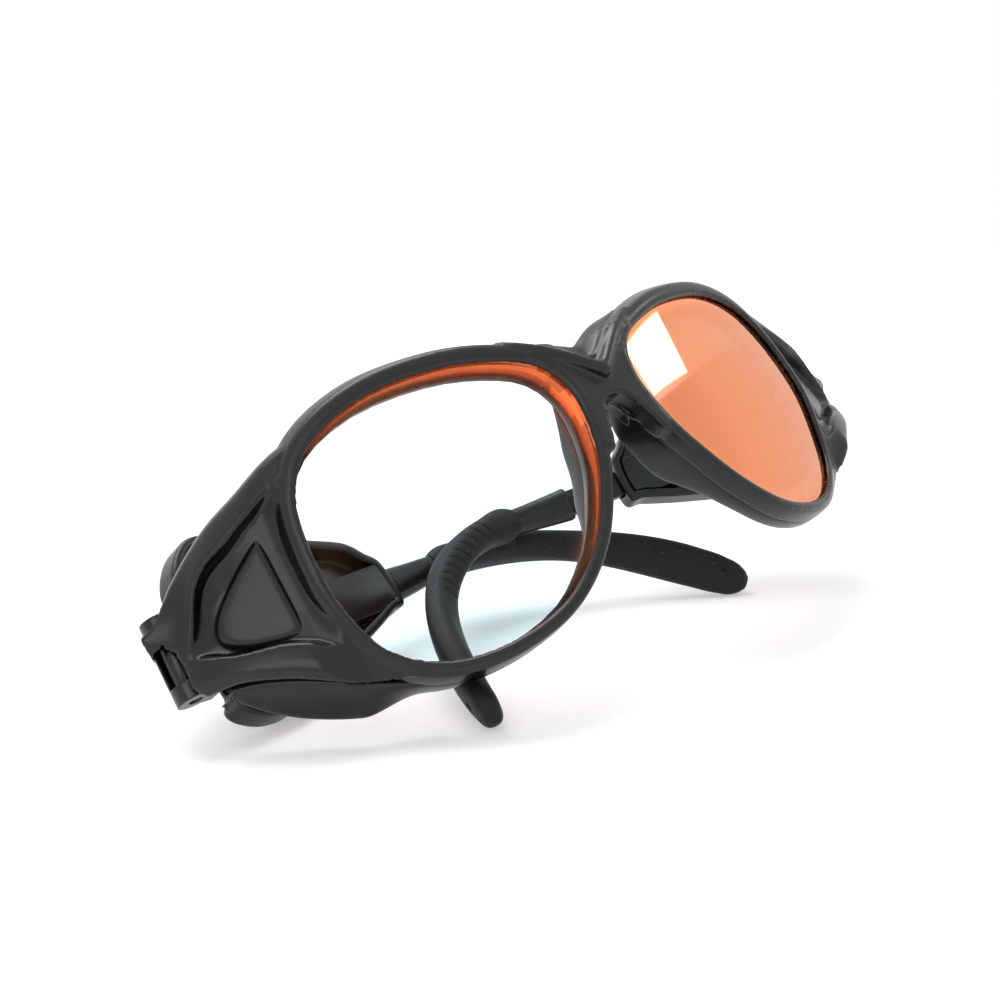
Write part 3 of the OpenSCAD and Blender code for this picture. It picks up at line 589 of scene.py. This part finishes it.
def sideWeb():
    # a section with a crested top, a pit between two ribs and a round lower edge, carried to the hinge
    f = np.linspace(web["from"], web["to"], web["sections"])
    top, rib, low, end = (lens["halfHigh"] * along(f, web[k]) for k in ("top", "rib", "low", "end"))
    crest, sink, bevel = along(f, web["crest"]), along(f, web["sink"]), straight(f, web["bevel"])
    lip = np.minimum(.5, (rib - low) / 4)
    back = web["pit"] + straight(f, web["thick"])
    backTop = back + straight(f, web["topMore"])
    pit = web["pit"] * along(f, web["pitShare"]) + sink
    outside = [(top, -3.6), (top - 1.4, bevel), (top - 2.6, crest), (rib + .5, crest - .3 - sink),
               (rib, crest - .6 - sink), (rib - lip, -pit), (low + lip, -pit), (low, -.5 - sink),
               (low - .5, -.15 - sink), ((low + end) / 2 - 1, .2 - sink), (end + .6, -.5 - sink),
               (end, -1.6 - sink)]
    inside = [(end + 1.4, -back), (low, -back), (rib, -back), (top - 1.2, -backTop)]
    rings = cornersCut(np.stack([sidePoints(f, z, q) for z, q in outside + inside], 1), 1)
    # near the lens the web never stands in front of the rim's face
    proud = np.maximum(0, faceY(rings[..., 0], rings[..., 2]) + web["tuckedBy"] - rings[..., 1])
    rings[..., 1] += proud * straight(f, web["tucked"])[:, None]
    return skinned(rings)


# Bridge: a pointed ledge in front, a ridge behind it, and the plate down to the nose arch
brow = {"reach": 2.1, "setBack": .3, "pointZ": 11.4, "blunt": .3, "slope": 1.02, "flatter": .021,
        "half": 14.0, "stations": 57, "ledge": 2.7, "ridge": 5.0, "rise": 6.0, "archZ": 6.0, "drawnToZ": 8}


def browStations():
    # the brow's V with a blunt point: height rises with the distance from the middle, ever less
    x = np.linspace(-brow["half"], brow["half"], brow["stations"])
    far = np.sqrt(x * x + brow["blunt"]) - brow["blunt"]
    z = brow["pointZ"] + far * brow["slope"] - far * far * brow["flatter"]
    y = faceY(x, z) - brow["reach"] * (1 - far / brow["half"]) + brow["setBack"]
    return x, far, y, z


def acrossBridge(section):
    # a section in Y and Z carried along the brow's V
    x, far, y, z = browStations()
    rings = np.stack([np.stack([x, y + dy, z + dz], -1) for dy, dz in section], 1)
    return skinned(cornersCut(rings, 1))


def bridgeLayer(half, near, far):
    # a smooth plate from half an outline, mirrored, with its front and back edges drawn in a little
    line = half + [[-p[0], p[1]] for p in half[-2:0:-1]]
    flat = closedCurve(line, np.linspace(0, len(line), 120, endpoint=False))
    to = brow["drawnToZ"]
    rings = [np.stack([flat[:, 0] * k, np.full(len(flat), d), (flat[:, 1] - to) * k + to], -1)
             for k, d in ((.96, near), (1, near + .4), (1, far - .4), (.96, far))]
    return skinned(np.stack(rings, 0))


def bridgeParts():
    # ledge and ridge as sections along the V, and a front and a rear layer of the plate
    far = browStations()[1]
    deep, high, t = brow["ridge"] + far * .1, brow["rise"] - far * .33, brow["ledge"]
    ledge = acrossBridge([(.3, -t), (0, .4 - t), (0, -.4), (.4, 0), (2.2, 1), (4, -1), (3.4, -t - .4)])
    ridge = acrossBridge([(2.4, -1.2), (2.6, 1.3), (deep - .6, high), (deep + .4, high - .2),
                          (deep + .8, high - 1.2), (deep + .6, -3)])
    a = brow["archZ"]
    arch = [[0, a], [1.8, a - .4], [3.1, a - 2.2]]
    front = arch + [[4.2, a - 5], [6, a - 9], [9.5, a - 6], [11, 8], [12, 17], [7, 18.5], [0, 14]]
    rear = arch + [[3.8, a - 4], [4.1, 11], [4.1, 16], [0, 14]]
    return ledge, ridge, bridgeLayer(front, 1.6, 5.5), bridgeLayer(rear, 5, 8)


def hingeRoom():
    # a cylinder round the fold axis, room for the yoke's ears
    a = circle(96)
    r, high = hinge["earRoom"], hinge["earRoomHigh"]
    ring = np.stack([hinge["out"] + r * np.cos(a), hinge["behind"] + r * np.sin(a), 0 * a], -1)
    return skinned(np.stack([ring - [0, 0, high], ring + [0, 0, high]], 0))


def frontFrame():
    # webs and bridge, cut by the rooms for lenses and yokes, joined by the rims and moulded as one
    side, room, ring = sideWeb(), lensRoom(), rimRing()
    body = made("frontFrame", joined(side, mirrored(side), *bridgeParts()))
    cutBy(body, made("rooms", joined(room, mirrored(room), hingeRoom(), mirrored(hingeRoom()))))
    rims = made("rims", joined(ring, mirrored(ring)))
    bm = bmesh.new()
    bm.from_mesh(body.data)
    bm.from_mesh(rims.data)
    bm.to_mesh(body.data)
    bm.free()
    bpy.data.objects.remove(rims)
    moulded(body, rim["skin"])
    print("front frame has", len(body.data.polygons), "faces")
    dressed(body, "frame", "front_frame", nylon)


frontFrame()
print("front frame made")


# Lenses: domed plates on the face curve with a ground edge
# bandFrom, bandLevel, bandNasal and bandUpper shape the painted reflection near the plate's edge
plate = {"grown": rim["cover"] - .05, "front": rim["lip"] + .05, "ground": .3,
         "bandFrom": .82, "bandLevel": .25, "bandNasal": .7, "bandUpper": .55,
         "sharp": 30, "retainerBevel": .12}
plateShares = np.linspace(.02, 1, 40)  # rings from the middle of the plate to its edge


def lensPlate():
    # the outline drawn in towards its middle on the front, a ground edge, and the same on the back
    i = lensPlaces(lens["around"])
    grown, front = plate["grown"], plate["front"]
    middle = np.array([lens["x"], lens["z"]])

    def shell(k, g, d):
        p, out = outlineAt(i)
        p = middle + k * (p + out * g - middle)
        return np.stack([p[:, 0], faceY(p[:, 0], p[:, 1]) + d, p[:, 1]], -1)

    rings = [shell(k, grown - plate["ground"] * (k == 1), front) for k in plateShares]
    rings += [shell(1, grown, front + plate["ground"])]
    rings += [shell(k, grown, front + lens["thick"]) for k in plateShares[::-1]]
    return skinned(np.stack(rings, 0))


def paintedReflectionBand():
    # painted reflection: 0 in the middle of the plate, rising to 1 at its upper and nasal edge
    out = outlineAt(lensPlaces(lens["around"]))[1]
    where = plate["bandLevel"] - plate["bandNasal"] * out[:, 0] + plate["bandUpper"] * out[:, 1]
    shares = np.concatenate([plateShares, [1], plateShares[::-1]])
    rise = np.clip((shares - plate["bandFrom"]) / (1 - plate["bandFrom"]), 0, 1)**2
    return np.concatenate([np.multiply.outer(rise, np.clip(where, 0, 1)).ravel(), [0, 0]])


for name, part in bothSides(lensPlate()):
    obj = made(name + "LensPlate", part)
    # the attribute paints extra orange reflection of the coating towards the upper and nasal edge
    obj.data.attributes.new("band", "FLOAT", "POINT").data.foreach_set("value", paintedReflectionBand())
    sharpFrom(obj, plate["sharp"])
    dressed(obj, "frame", name + "_lens", lensGlass)
    ring = cadCopy(name + "RetainerRing", name + "_retainer", plate["retainerBevel"])
    dressed(ring, "frame", name + "_retainer", headNylon)
print("lenses and retainers made")


# Side panels: raised pillows with a crowned face and rounded edges. The outline is in shares of the way
# to the hinge and of the lens's half height; each ring has its size and its height as shares.
panel = {"shape": [[.232, .47], [.225, .4], [.225, .1], [.225, -.22], [.235, -.3], [.32, -.3], [.46, -.255],
                   [.6, -.18], [.68, -.09], [.695, .02], [.63, .14], [.48, .285], [.3, .435], [.25, .468]],
         "middle": [.4, .02], "high": 2.1, "sunk": .05,
         "rings": [(1.03, .02), (1.03, .3), (1.015, .5), (.97, .68), (.9, .84), (.83, .93), (.75, .97),
                   (.6, .985), (.4, 1), (.2, 1), (.05, 1)]}


def sidePanel():
    # the outline drawn in towards its middle as the surface rises, then crowned to its middle
    corner = cornersCut(np.pad(np.array(panel["shape"]), ((0, 0), (0, 1)))[None], 3)[0][:, :2]
    middle = np.array(panel["middle"])
    rings = []
    for k, h in panel["rings"]:
        p = middle + (corner - middle) * k
        q = panel["sunk"] - web["pit"] + panel["high"] * h
        rings.append(sidePoints(p[:, 0], p[:, 1] * lens["halfHigh"], q))
    return skinned(np.stack(rings, 0))


for name, part in bothSides(sidePanel()):
    dressed(made(name + "PillowPanel", part), "frame", name + "_side_panel", nylon)


# Lower guards: leaf at the nose, strip under the rim and leaf at the side. The first tables run over
# the places round the lens, the last ones over the share of the way to the hinge.
guard = {"thick": 1.8, "lap": .7, "sections": 170, "evened": 14, "from": 20, "to": 40,
         "deep": [[20, 7.6], [21.5, 10], [23, 12], [27, 12], [28.8, 8.6], [30.5, 7.6], [37, 7.6], [40, 9.6]],
         "flare": [[20, .15], [27, .15], [31, -.2], [40, -.2]],
         "edge": [[20, -.4], [27, -.4], [31, -.8], [40, -.8]],
         "sideShares": [.14, .22, .3, .4, .5, .6, .7, .76],
         "sideDrop": [[.1, 4.6], [.3, 5.9], [.5, 5.8], [.66, 4.2], [.76, 2]],
         "sideDeep": [[.1, 8], [.5, 7], [.76, 5.6]]}


def guardRings():
    # sections under the rim, then under the side web, with a curve through them evened out
    i = np.arange(guard["from"], guard["to"] + 1).astype(float)
    w, d = backWidth(i), straight(i, guard["deep"])
    lap, inner = w - guard["lap"], w - guard["thick"]
    start, r = rim["guardAt"] + .05, rim["deep"] + .1
    front = [(lap, start), (w, start), (w + straight(i, guard["flare"]), d - .7),
             (w + straight(i, guard["edge"]), d), (inner + .2, d - .1), (inner - .1, d - .8), (inner, r),
             (lap, r)]
    f = np.array(guard["sideShares"])
    z = lens["halfHigh"] * along(f, web["end"])
    low, deep = z - along(f, guard["sideDrop"]), along(f, guard["sideDeep"])
    side = [(z + 1.6, -3.3), (z - .5, -2.7), (low, .8 - deep), (low + .1, -deep),
            (low + .8, -deep - .2), (low + 1.4, .2 - deep), (z - .2, -5.6), (z + 1.9, -5)]
    rows = np.concatenate([np.stack([rimPoints(i, g, back) for g, back in front], 1),
                           np.stack([sidePoints(f, high, q) for high, q in side], 1)])
    rows = openCurve(rows, np.linspace(0, len(rows) - 1, guard["sections"]))
    for _ in range(guard["evened"]):
        rows[1:-1] = rows[1:-1] / 2 + (rows[:-2] + rows[2:]) / 4
    return rows


def lowerGuard():
    # the sections with rounded corners, closed by two smaller ones at each end
    rings = cornersCut(guardRings(), 2)
    middle = rings.mean(1, keepdims=True)
    small, less = (middle + (rings - middle) * k for k in (.5, .85))
    return skinned(np.concatenate([small[:1], less[:1], rings, less[-1:], small[-1:]]))


for name, part in bothSides(lowerGuard()):
    dressed(made(name + "GuardLeaf", part), "frame", name + "_lower_guard", guardNylon)
print("panels and guards made")


# Hinges, screws, covers and cores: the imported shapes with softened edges.
# Each piece has its node, its bevel, its body, its slot and its finish.
cadPieces = {"Knuckle": ("_hinge_bracket", .12, "frame", "hinge", hingeBlack),
             "Pin": ("_hinge_pin", .15, "frame", "steel", pinSteel),
             "HingeYoke": ("_yoke", 0, "_hinge", "hinge", hingeBlack),
             "SlottedScrew": ("_tilt_screw", .08, "_head", "steel", pinSteel),
             "ChannelCover": ("_head_cover", .15, "_head", "nylon", headNylon),
             "Core": ("_core_wire", 0, "_arm", "steel", pinSteel)}
yokeSkin = {"voxel": .15, "passes": 4}

for name in ("left", "right"):
    for piece, (node, bevel, body, slot, finish) in cadPieces.items():
        obj = cadCopy(name + piece, name + node, bevel)
        if piece == "HingeYoke":
            moulded(obj, yokeSkin)
        dressed(obj, body if body == "frame" else name + body, name + node, finish)
print("hinges and hidden pieces made")


# Temple heads: a shallow tray whose raised edge follows the outline
head = {"shape": [[6.3, -5.6], [6.2, -7.2], [4.9, -8.7], [5.4, -10.4], [7.8, -12.2], [11, -13.3],
                  [15, -13.4], [20, -12.2], [30, -9.8], [40, -7], [46, -5], [49.5, -4], [49.5, 4], [47, 7],
                  [43.5, 10.2], [36, 12.8], [26, 16], [18, 18.6], [13.4, 19.2], [10.4, 18.2], [7.4, 15.4],
                  [5.6, 12.4], [5.4, 10.4], [6.2, 9], [6.4, 7]],
        "around": 250, "middle": [24, 2], "outer": 2.55, "wall": 1.3, "edge": 1.8, "inner": 2.6,
        "barHigh": 5.0, "barFrom": 18.0, "barRoom": .15, "railHalf": .8, "railDeep": 1.3, "railTo": 48.6,
        "slotHalf": 1.25, "slotFrom": 43.5, "slotTo": 56, "notchHalf": 6.4, "notchIn": 4, "notchFrom": -1,
        "notchTo": 9, "skin": {"voxel": .3, "passes": 4}}


def headTray():
    # outer face, round edge, side, inner edge and floor, each the outline drawn in by some distance
    line = closedCurve(head["shape"], np.linspace(0, len(head["shape"]), head["around"], endpoint=False))
    d = unit(np.roll(line, -1, 0) - np.roll(line, 1, 0))
    inward = np.stack([-d[:, 1], d[:, 0]], -1)
    middle = np.array(head["middle"], float)

    def ring(x, inset, k=1.0):
        p = middle + (line + inward * inset - middle) * k
        return np.stack([np.full(len(p), hinge["armOff"] + x), p[:, 0], p[:, 1]], -1)

    out, floor, back, e = head["outer"], head["outer"] - head["wall"], -head["inner"], head["edge"]
    rings = [ring(out, 1.2, k) for k in (.04, .3, .6, .85, 1)]
    rings += [ring(out, .6), ring(out - .1, .25), ring(out - .4, .02), ring(out - 1.5, 0)]
    rings += [ring(back + .5, 0), ring(back + .15, .15), ring(back, .5)]
    rings += [ring(back, e - .4), ring(back + .3, e)]
    rings += [ring(floor - .4, e)] + [ring(floor, e + .4, k) for k in (1, .8, .5, .2, .04)]
    return skinned(np.stack(rings, 0))


def templeHead(pose):
    # the tray with two rails for the arm, opened at the arm's slot and at the yoke
    name, off, place = pose["name"], hinge["armOff"], templePlace(pose)
    room, half = head["barHigh"] / 2 + head["barRoom"], head["railHalf"]
    rails = [boxed([off - head["inner"] + head["railDeep"], head["barFrom"] - .4, s * (room + half) - half],
                   [off + head["railDeep"], head["railTo"], s * (room + half) + half]) for s in (1, -1)]
    body = made(name + "SideShield", joined(headTray(), *rails), place)
    bar = boxed([off - head["slotHalf"], head["slotFrom"], -room],
                [off + head["slotHalf"], head["slotTo"], room])
    notch = boxed([off - head["notchIn"], head["notchFrom"], -head["notchHalf"]],
                  [off + head["slotHalf"], head["notchTo"], head["notchHalf"]])
    cutBy(body, made("rooms", joined(bar, notch), place))
    moulded(body, head["skin"])
    dressed(body, name + "_head", name + "_temple_head", headNylon)


# Arms and ear tips: rounded sections carried along the bent path. Places along it are in mm from the
# fold axis. A tip's bends are in degrees, and its grip marks lie on the side that faces the ear.
arm = {"high": 7.0, "endHigh": 5.0, "thick": 3.8, "bowR": 65.5, "headEnd": 49.5, "tipStart": 62.7,
       "rodEnd": 62.65, "barHalf": 1.1, "barTo": 50.9, "bevel": .2, "sharp": 50,
       "ends": [[49.9, .8], [50.0, .4], [50.15, .15], [50.5, 0], [63, 0]]}
tip = {"long": 69.0, "sections": 560, "holeAt": 5.5, "holeR": .8, "holeReach": 6, "sharp": 50,
       "high": [[0, 5.2], [.012, 6], [.12, 5.9], [.4, 6.1], [.84, 8.4], [.92, 7.8], [.97, 6.1], [.99, 4.1],
                [1, 2.4]],
       "thick": [[0, 4], [.012, 4.5], [.5, 4.45], [.93, 4.3], [.97, 3.7], [.99, 2.9], [1, 1.9]],
       "left": {"drop": 52.6, "wrap": 29.6, "dropEarly": 1.72, "wrapEarly": 2.0,
                "gripAt": 6, "pitch": 5.2, "slant": .35, "bent": 2, "deep": .2, "narrow": .035, "wide": .5,
                "shown": [[67, 0], [69, 1], [92, 1], [94, 0]]},
       "right": {"drop": 44.8, "wrap": 74.6, "dropEarly": 3.05, "wrapEarly": 1.4,
                 "gripAt": 8, "pitch": 2.6, "slant": .55, "bent": 1, "deep": .42, "narrow": .11, "wide": .62,
                 "shown": [[69, 0], [71, 1], [95, 1], [97, 0]]}}


def untilted(v, pose):
    # a direction from the folded temple's frame to the temple's own, which is tilted
    c, s = math.cos(pose["tilt"]), math.sin(pose["tilt"])
    return np.stack([v[..., 0], v[..., 1] * c + v[..., 2] * s, v[..., 2] * c - v[..., 1] * s], -1)


def bend(t, total, early):
    # total at the tip's end, with a share of it that grows evenly and the rest with the square
    return total * (early * t + (1 - early) * t * t)


def headings(s, pose):
    # direction of the path: bowed round the head, then wrapped and dropped over the ear tip
    t = np.maximum(0, s - arm["tipStart"]) / tip["long"]
    way = tip[pose["name"]]
    bow = np.degrees((np.minimum(s, arm["tipStart"]) - np.minimum(s, arm["headEnd"])) / arm["bowR"])
    yaw = np.radians(bow + bend(t, way["wrap"], way["wrapEarly"]))
    drop = np.radians(bend(t, way["drop"], way["dropEarly"])) - pose["tilt"]
    d = np.stack([-np.sin(yaw) * np.cos(drop), np.cos(yaw) * np.cos(drop), -np.sin(drop)], -1)
    return untilted(d, pose)


def pathAt(s, pose):
    # the path's points, its direction, and the directions across and up that are square to it
    whole = np.arange(0, int(arm["tipStart"] + tip["long"]) + 1).astype(float)
    start = [hinge["armOff"], 0, 0]
    steps = np.concatenate([[start], np.cumsum(headings(whole, pose), 0) + start])
    d = headings(s, pose)
    x = unit(np.cross(d, untilted(np.array([0, 0, 1.]), pose)))
    return openCurve(steps, s), d, x, np.cross(x, d)


def carried(s, high, thick, pose, around=64, dent=None):
    # superellipse sections square to the path; dent sinks the skin at each place
    c, d, x, z = pathAt(s, pose)
    a = circle(around)
    u, v = (np.sign(w) * np.abs(w)**.75 for w in (np.cos(a), np.sin(a)))
    sink = 0 if dent is None else dent(s[:, None], a[None, :])
    wide = (thick / 2)[:, None] * u - sink * u
    tall = (high / 2)[:, None] * v - sink * v
    return c[:, None] + x[:, None] * wide[..., None] + z[:, None] * tall[..., None]


def armRod(pose):
    # a rod that narrows to the ear tip, rounded at its start, and the flat bar inside the head
    name, off = pose["name"], hinge["armOff"]
    s = np.concatenate([np.array(arm["ends"])[:4, 0], np.linspace(51, arm["rodEnd"], 40)])
    shy = straight(s, arm["ends"])
    share = np.minimum(1, (s - arm["headEnd"]) / (arm["tipStart"] - arm["headEnd"]))
    high = arm["high"] + (arm["endHigh"] - arm["high"]) * share
    rod = skinned(carried(s, high - shy, arm["thick"] - shy, pose))
    bar = boxed([off - arm["barHalf"], head["barFrom"], -head["barHigh"] / 2],
                [off + arm["barHalf"], arm["barTo"], head["barHigh"] / 2])
    obj = made(name + "SlideArm", joined(rod, bar), templePlace(pose, pose["out"]))
    bevelled(obj, arm["bevel"], arm["sharp"], False)
    sharpFrom(obj, arm["sharp"])
    dressed(obj, name + "_arm", name + "_temple_arm", headNylon)


def tipDent(marks):
    # depth of the grip marks: slanted slits on the right tip, short curved ones on the left
    def dent(s, a):
        across = a - math.pi
        slit = (s - arm["tipStart"] - marks["gripAt"]) / marks["pitch"]
        slit = slit + marks["slant"] * across**marks["bent"]
        narrow, wide = (np.abs(slit % 1 - .5) / marks["narrow"])**2, (across / marks["wide"])**2
        return marks["deep"] * np.exp(-narrow) * np.exp(-wide) * straight(s, marks["shown"])
    return dent


def earTip(pose):
    # the sleeve's sections, closer together towards its rounded end, and the cord hole
    name, place = pose["name"], templePlace(pose, pose["out"])
    t = np.concatenate([np.linspace(0, .02, 8), np.linspace(.024, .93, tip["sections"]),
                        .93 + .07 * np.sin(np.linspace(.02, 1, 40) * math.pi / 2)])
    rings = carried(arm["tipStart"] + t * tip["long"], along(t, tip["high"]), along(t, tip["thick"]), pose,
                    72, tipDent(tip[name]))
    obj = made(name + "EarSleeve", skinned(rings), place)
    c, d, x, z = pathAt(np.array([arm["tipStart"] + tip["long"] - tip["holeAt"]]), pose)
    a = circle(40)[:, None]
    ring = c + tip["holeR"] * (np.cos(a) * d + np.sin(a) * z)
    drill = skinned(np.stack([ring - tip["holeReach"] * x, ring + tip["holeReach"] * x], 0))
    cutBy(obj, made("drill", drill, place))
    sharpFrom(obj, tip["sharp"])
    dressed(obj, name + "_arm", name + "_ear_tip", rubber)


for pose in temples:
    templeHead(pose)
    armRod(pose)
    earTip(pose)
print("temples made")


# Camera at the photograph's place on the worn frame, and its lens
view = {"place": (-125.65, -141.02, -48.53), "right": (.7870, -.3741, -.4906),
        "down": (-.3009, .4615, -.8346), "ahead": (.5387, .8044, .2506), "focal": 43.153, "sensor": 36,
        "near": .01, "far": 20}


def makeCamera():
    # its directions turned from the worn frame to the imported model's
    data = bpy.data.cameras.new("viewpoint")
    data.lens, data.sensor_width, data.clip_start, data.clip_end = (
        view[k] for k in ("focal", "sensor", "near", "far"))
    right, down, ahead = (np.array(view[k]) @ worn for k in ("right", "down", "ahead"))
    m = np.eye(4)
    m[:3, 0], m[:3, 1], m[:3, 2] = right, -down, -ahead
    m[:3, 3] = wornToRow(np.array(view["place"]))
    cam = linked("viewpoint", data)
    cam.matrix_world = Matrix(m.tolist())
    bpy.context.scene.camera = cam


# Two soft boxes, in metres and watts
lamps = {"softTop": {"place": (-.05, .35, .9), "target": (0, 0, 0), "size": .7, "power": 7},
         "softFill": {"place": (-.7, -.5, .5), "target": (0, 0, .03), "size": .5, "power": 1.2}}


def lamp(name, box):
    # a square area lamp that faces its target
    data = bpy.data.lights.new(name, "AREA")
    data.shape, data.size, data.energy = "SQUARE", box["size"], box["power"]
    obj = linked(name, data)
    obj.location = box["place"]
    obj.rotation_euler = (Vector(box["target"]) - Vector(box["place"])).to_track_quat("-Z", "Y").to_euler()


# White floor and world: the lifts are what the floor itself shines with, near the object and far away
stage = {"floor": .8, "floorHalf": 4, "floorBelow": .0001, "nearLift": .4, "near": .15, "farLift": .7,
         "far": .5, "worldDiffuse": .55}


def seenDirectly(f):
    # 1 for rays that look straight at the stage, in a reflection or through a lens
    camera, glossy, through = (f.node("ShaderNodeLightPath", out=way)
                               for way in ("Is Camera Ray", "Is Glossy Ray", "Is Transmission Ray"))
    return f.maths("MAXIMUM", f.maths("MAXIMUM", camera, glossy), through)


def stageFloor():
    # keeps the object's shadow, and shines enough to be white where it is seen directly
    f = newFinish("whiteFloor")
    diffuse = f.node("ShaderNodeBsdfDiffuse", {}, {"Color": grey(stage["floor"])})
    away = f.node("ShaderNodeVectorMath", {"operation": "LENGTH"}, {0: f.place()}, out="Value")
    lift = f.node("ShaderNodeMapRange", {}, {"Value": away, 1: stage["near"], 2: stage["far"],
                                             3: stage["nearLift"], 4: stage["farLift"]})
    glow = f.node("ShaderNodeEmission", {}, {"Color": grey(1), "Strength": seenDirectly(f) * lift})
    mesh = bpy.data.meshes.new("floor")
    x, y = np.meshgrid([-stage["floorHalf"], stage["floorHalf"]], [-stage["floorHalf"], stage["floorHalf"]])
    corners = np.stack([x, y, 0 * x - stage["floorBelow"]], -1).reshape(-1, 3)
    mesh.from_pydata(corners.tolist(), [], [[0, 1, 3, 2]])
    mesh.materials.append(f.surface(f.node("ShaderNodeAddShader", {}, {0: diffuse, 1: glow})))
    linked("floor", mesh)


def stageWorld():
    # white where it is seen directly, and dimmer as a light
    world = bpy.data.worlds.new("studio")
    bpy.context.scene.world = world
    f = Finish(world)
    low = stage["worldDiffuse"]
    strength = seenDirectly(f) * (1 - low) + low
    light = f.node("ShaderNodeBackground", {}, {"Color": grey(1), "Strength": strength})
    f.node("ShaderNodeOutputWorld", {}, {"Surface": light}, out=None)


# Bright card that the right lens mirrors as a window: it lies where rays from the camera,
# thrown back at these points of the lens (X and Z on the worn frame, mm), arrive
window = {"corners": [[8.3, 13.5], [21.5, 19.2], [19.2, 6.4], [8.4, 3.9]], "away": 600, "strength": 7.5}


def windowCard():
    # the face curve's slopes give its normal, and the normal the mirrored ray
    x, z = np.array(window["corners"]).T
    step = .01
    slopes = [(faceY(x + a, z + b) - faceY(x - a, z - b)) / (2 * step) for a, b in ((step, 0), (0, step))]
    normal = unit(np.stack([slopes[0], 0 * x - 1, slopes[1]], -1))
    on = np.stack([x, faceY(x, z) + rim["lip"], z], -1)
    ray = unit(on - np.array(view["place"]))
    back = ray - 2 * (ray * normal).sum(-1, keepdims=True) * normal
    f = newFinish("windowLight")
    mesh = bpy.data.meshes.new("windowCard")
    mesh.from_pydata(wornToRow(on + back * window["away"]).tolist(), [], [[0, 1, 2, 3]])
    shine = f.node("ShaderNodeEmission", {}, {"Color": grey(1), "Strength": window["strength"]})
    mesh.materials.append(f.surface(shine))
    card = linked("windowCard", mesh)
    for way in ("camera", "diffuse", "shadow", "transmission", "volume_scatter"):
        setattr(card, "visible_" + way, False)


makeCamera()
windowCard()
stageFloor()
stageWorld()
for name, box in lamps.items():
    lamp(name, box)
bpy.context.scene.view_settings.view_transform = "Standard"
print("camera, lamps and floor made")
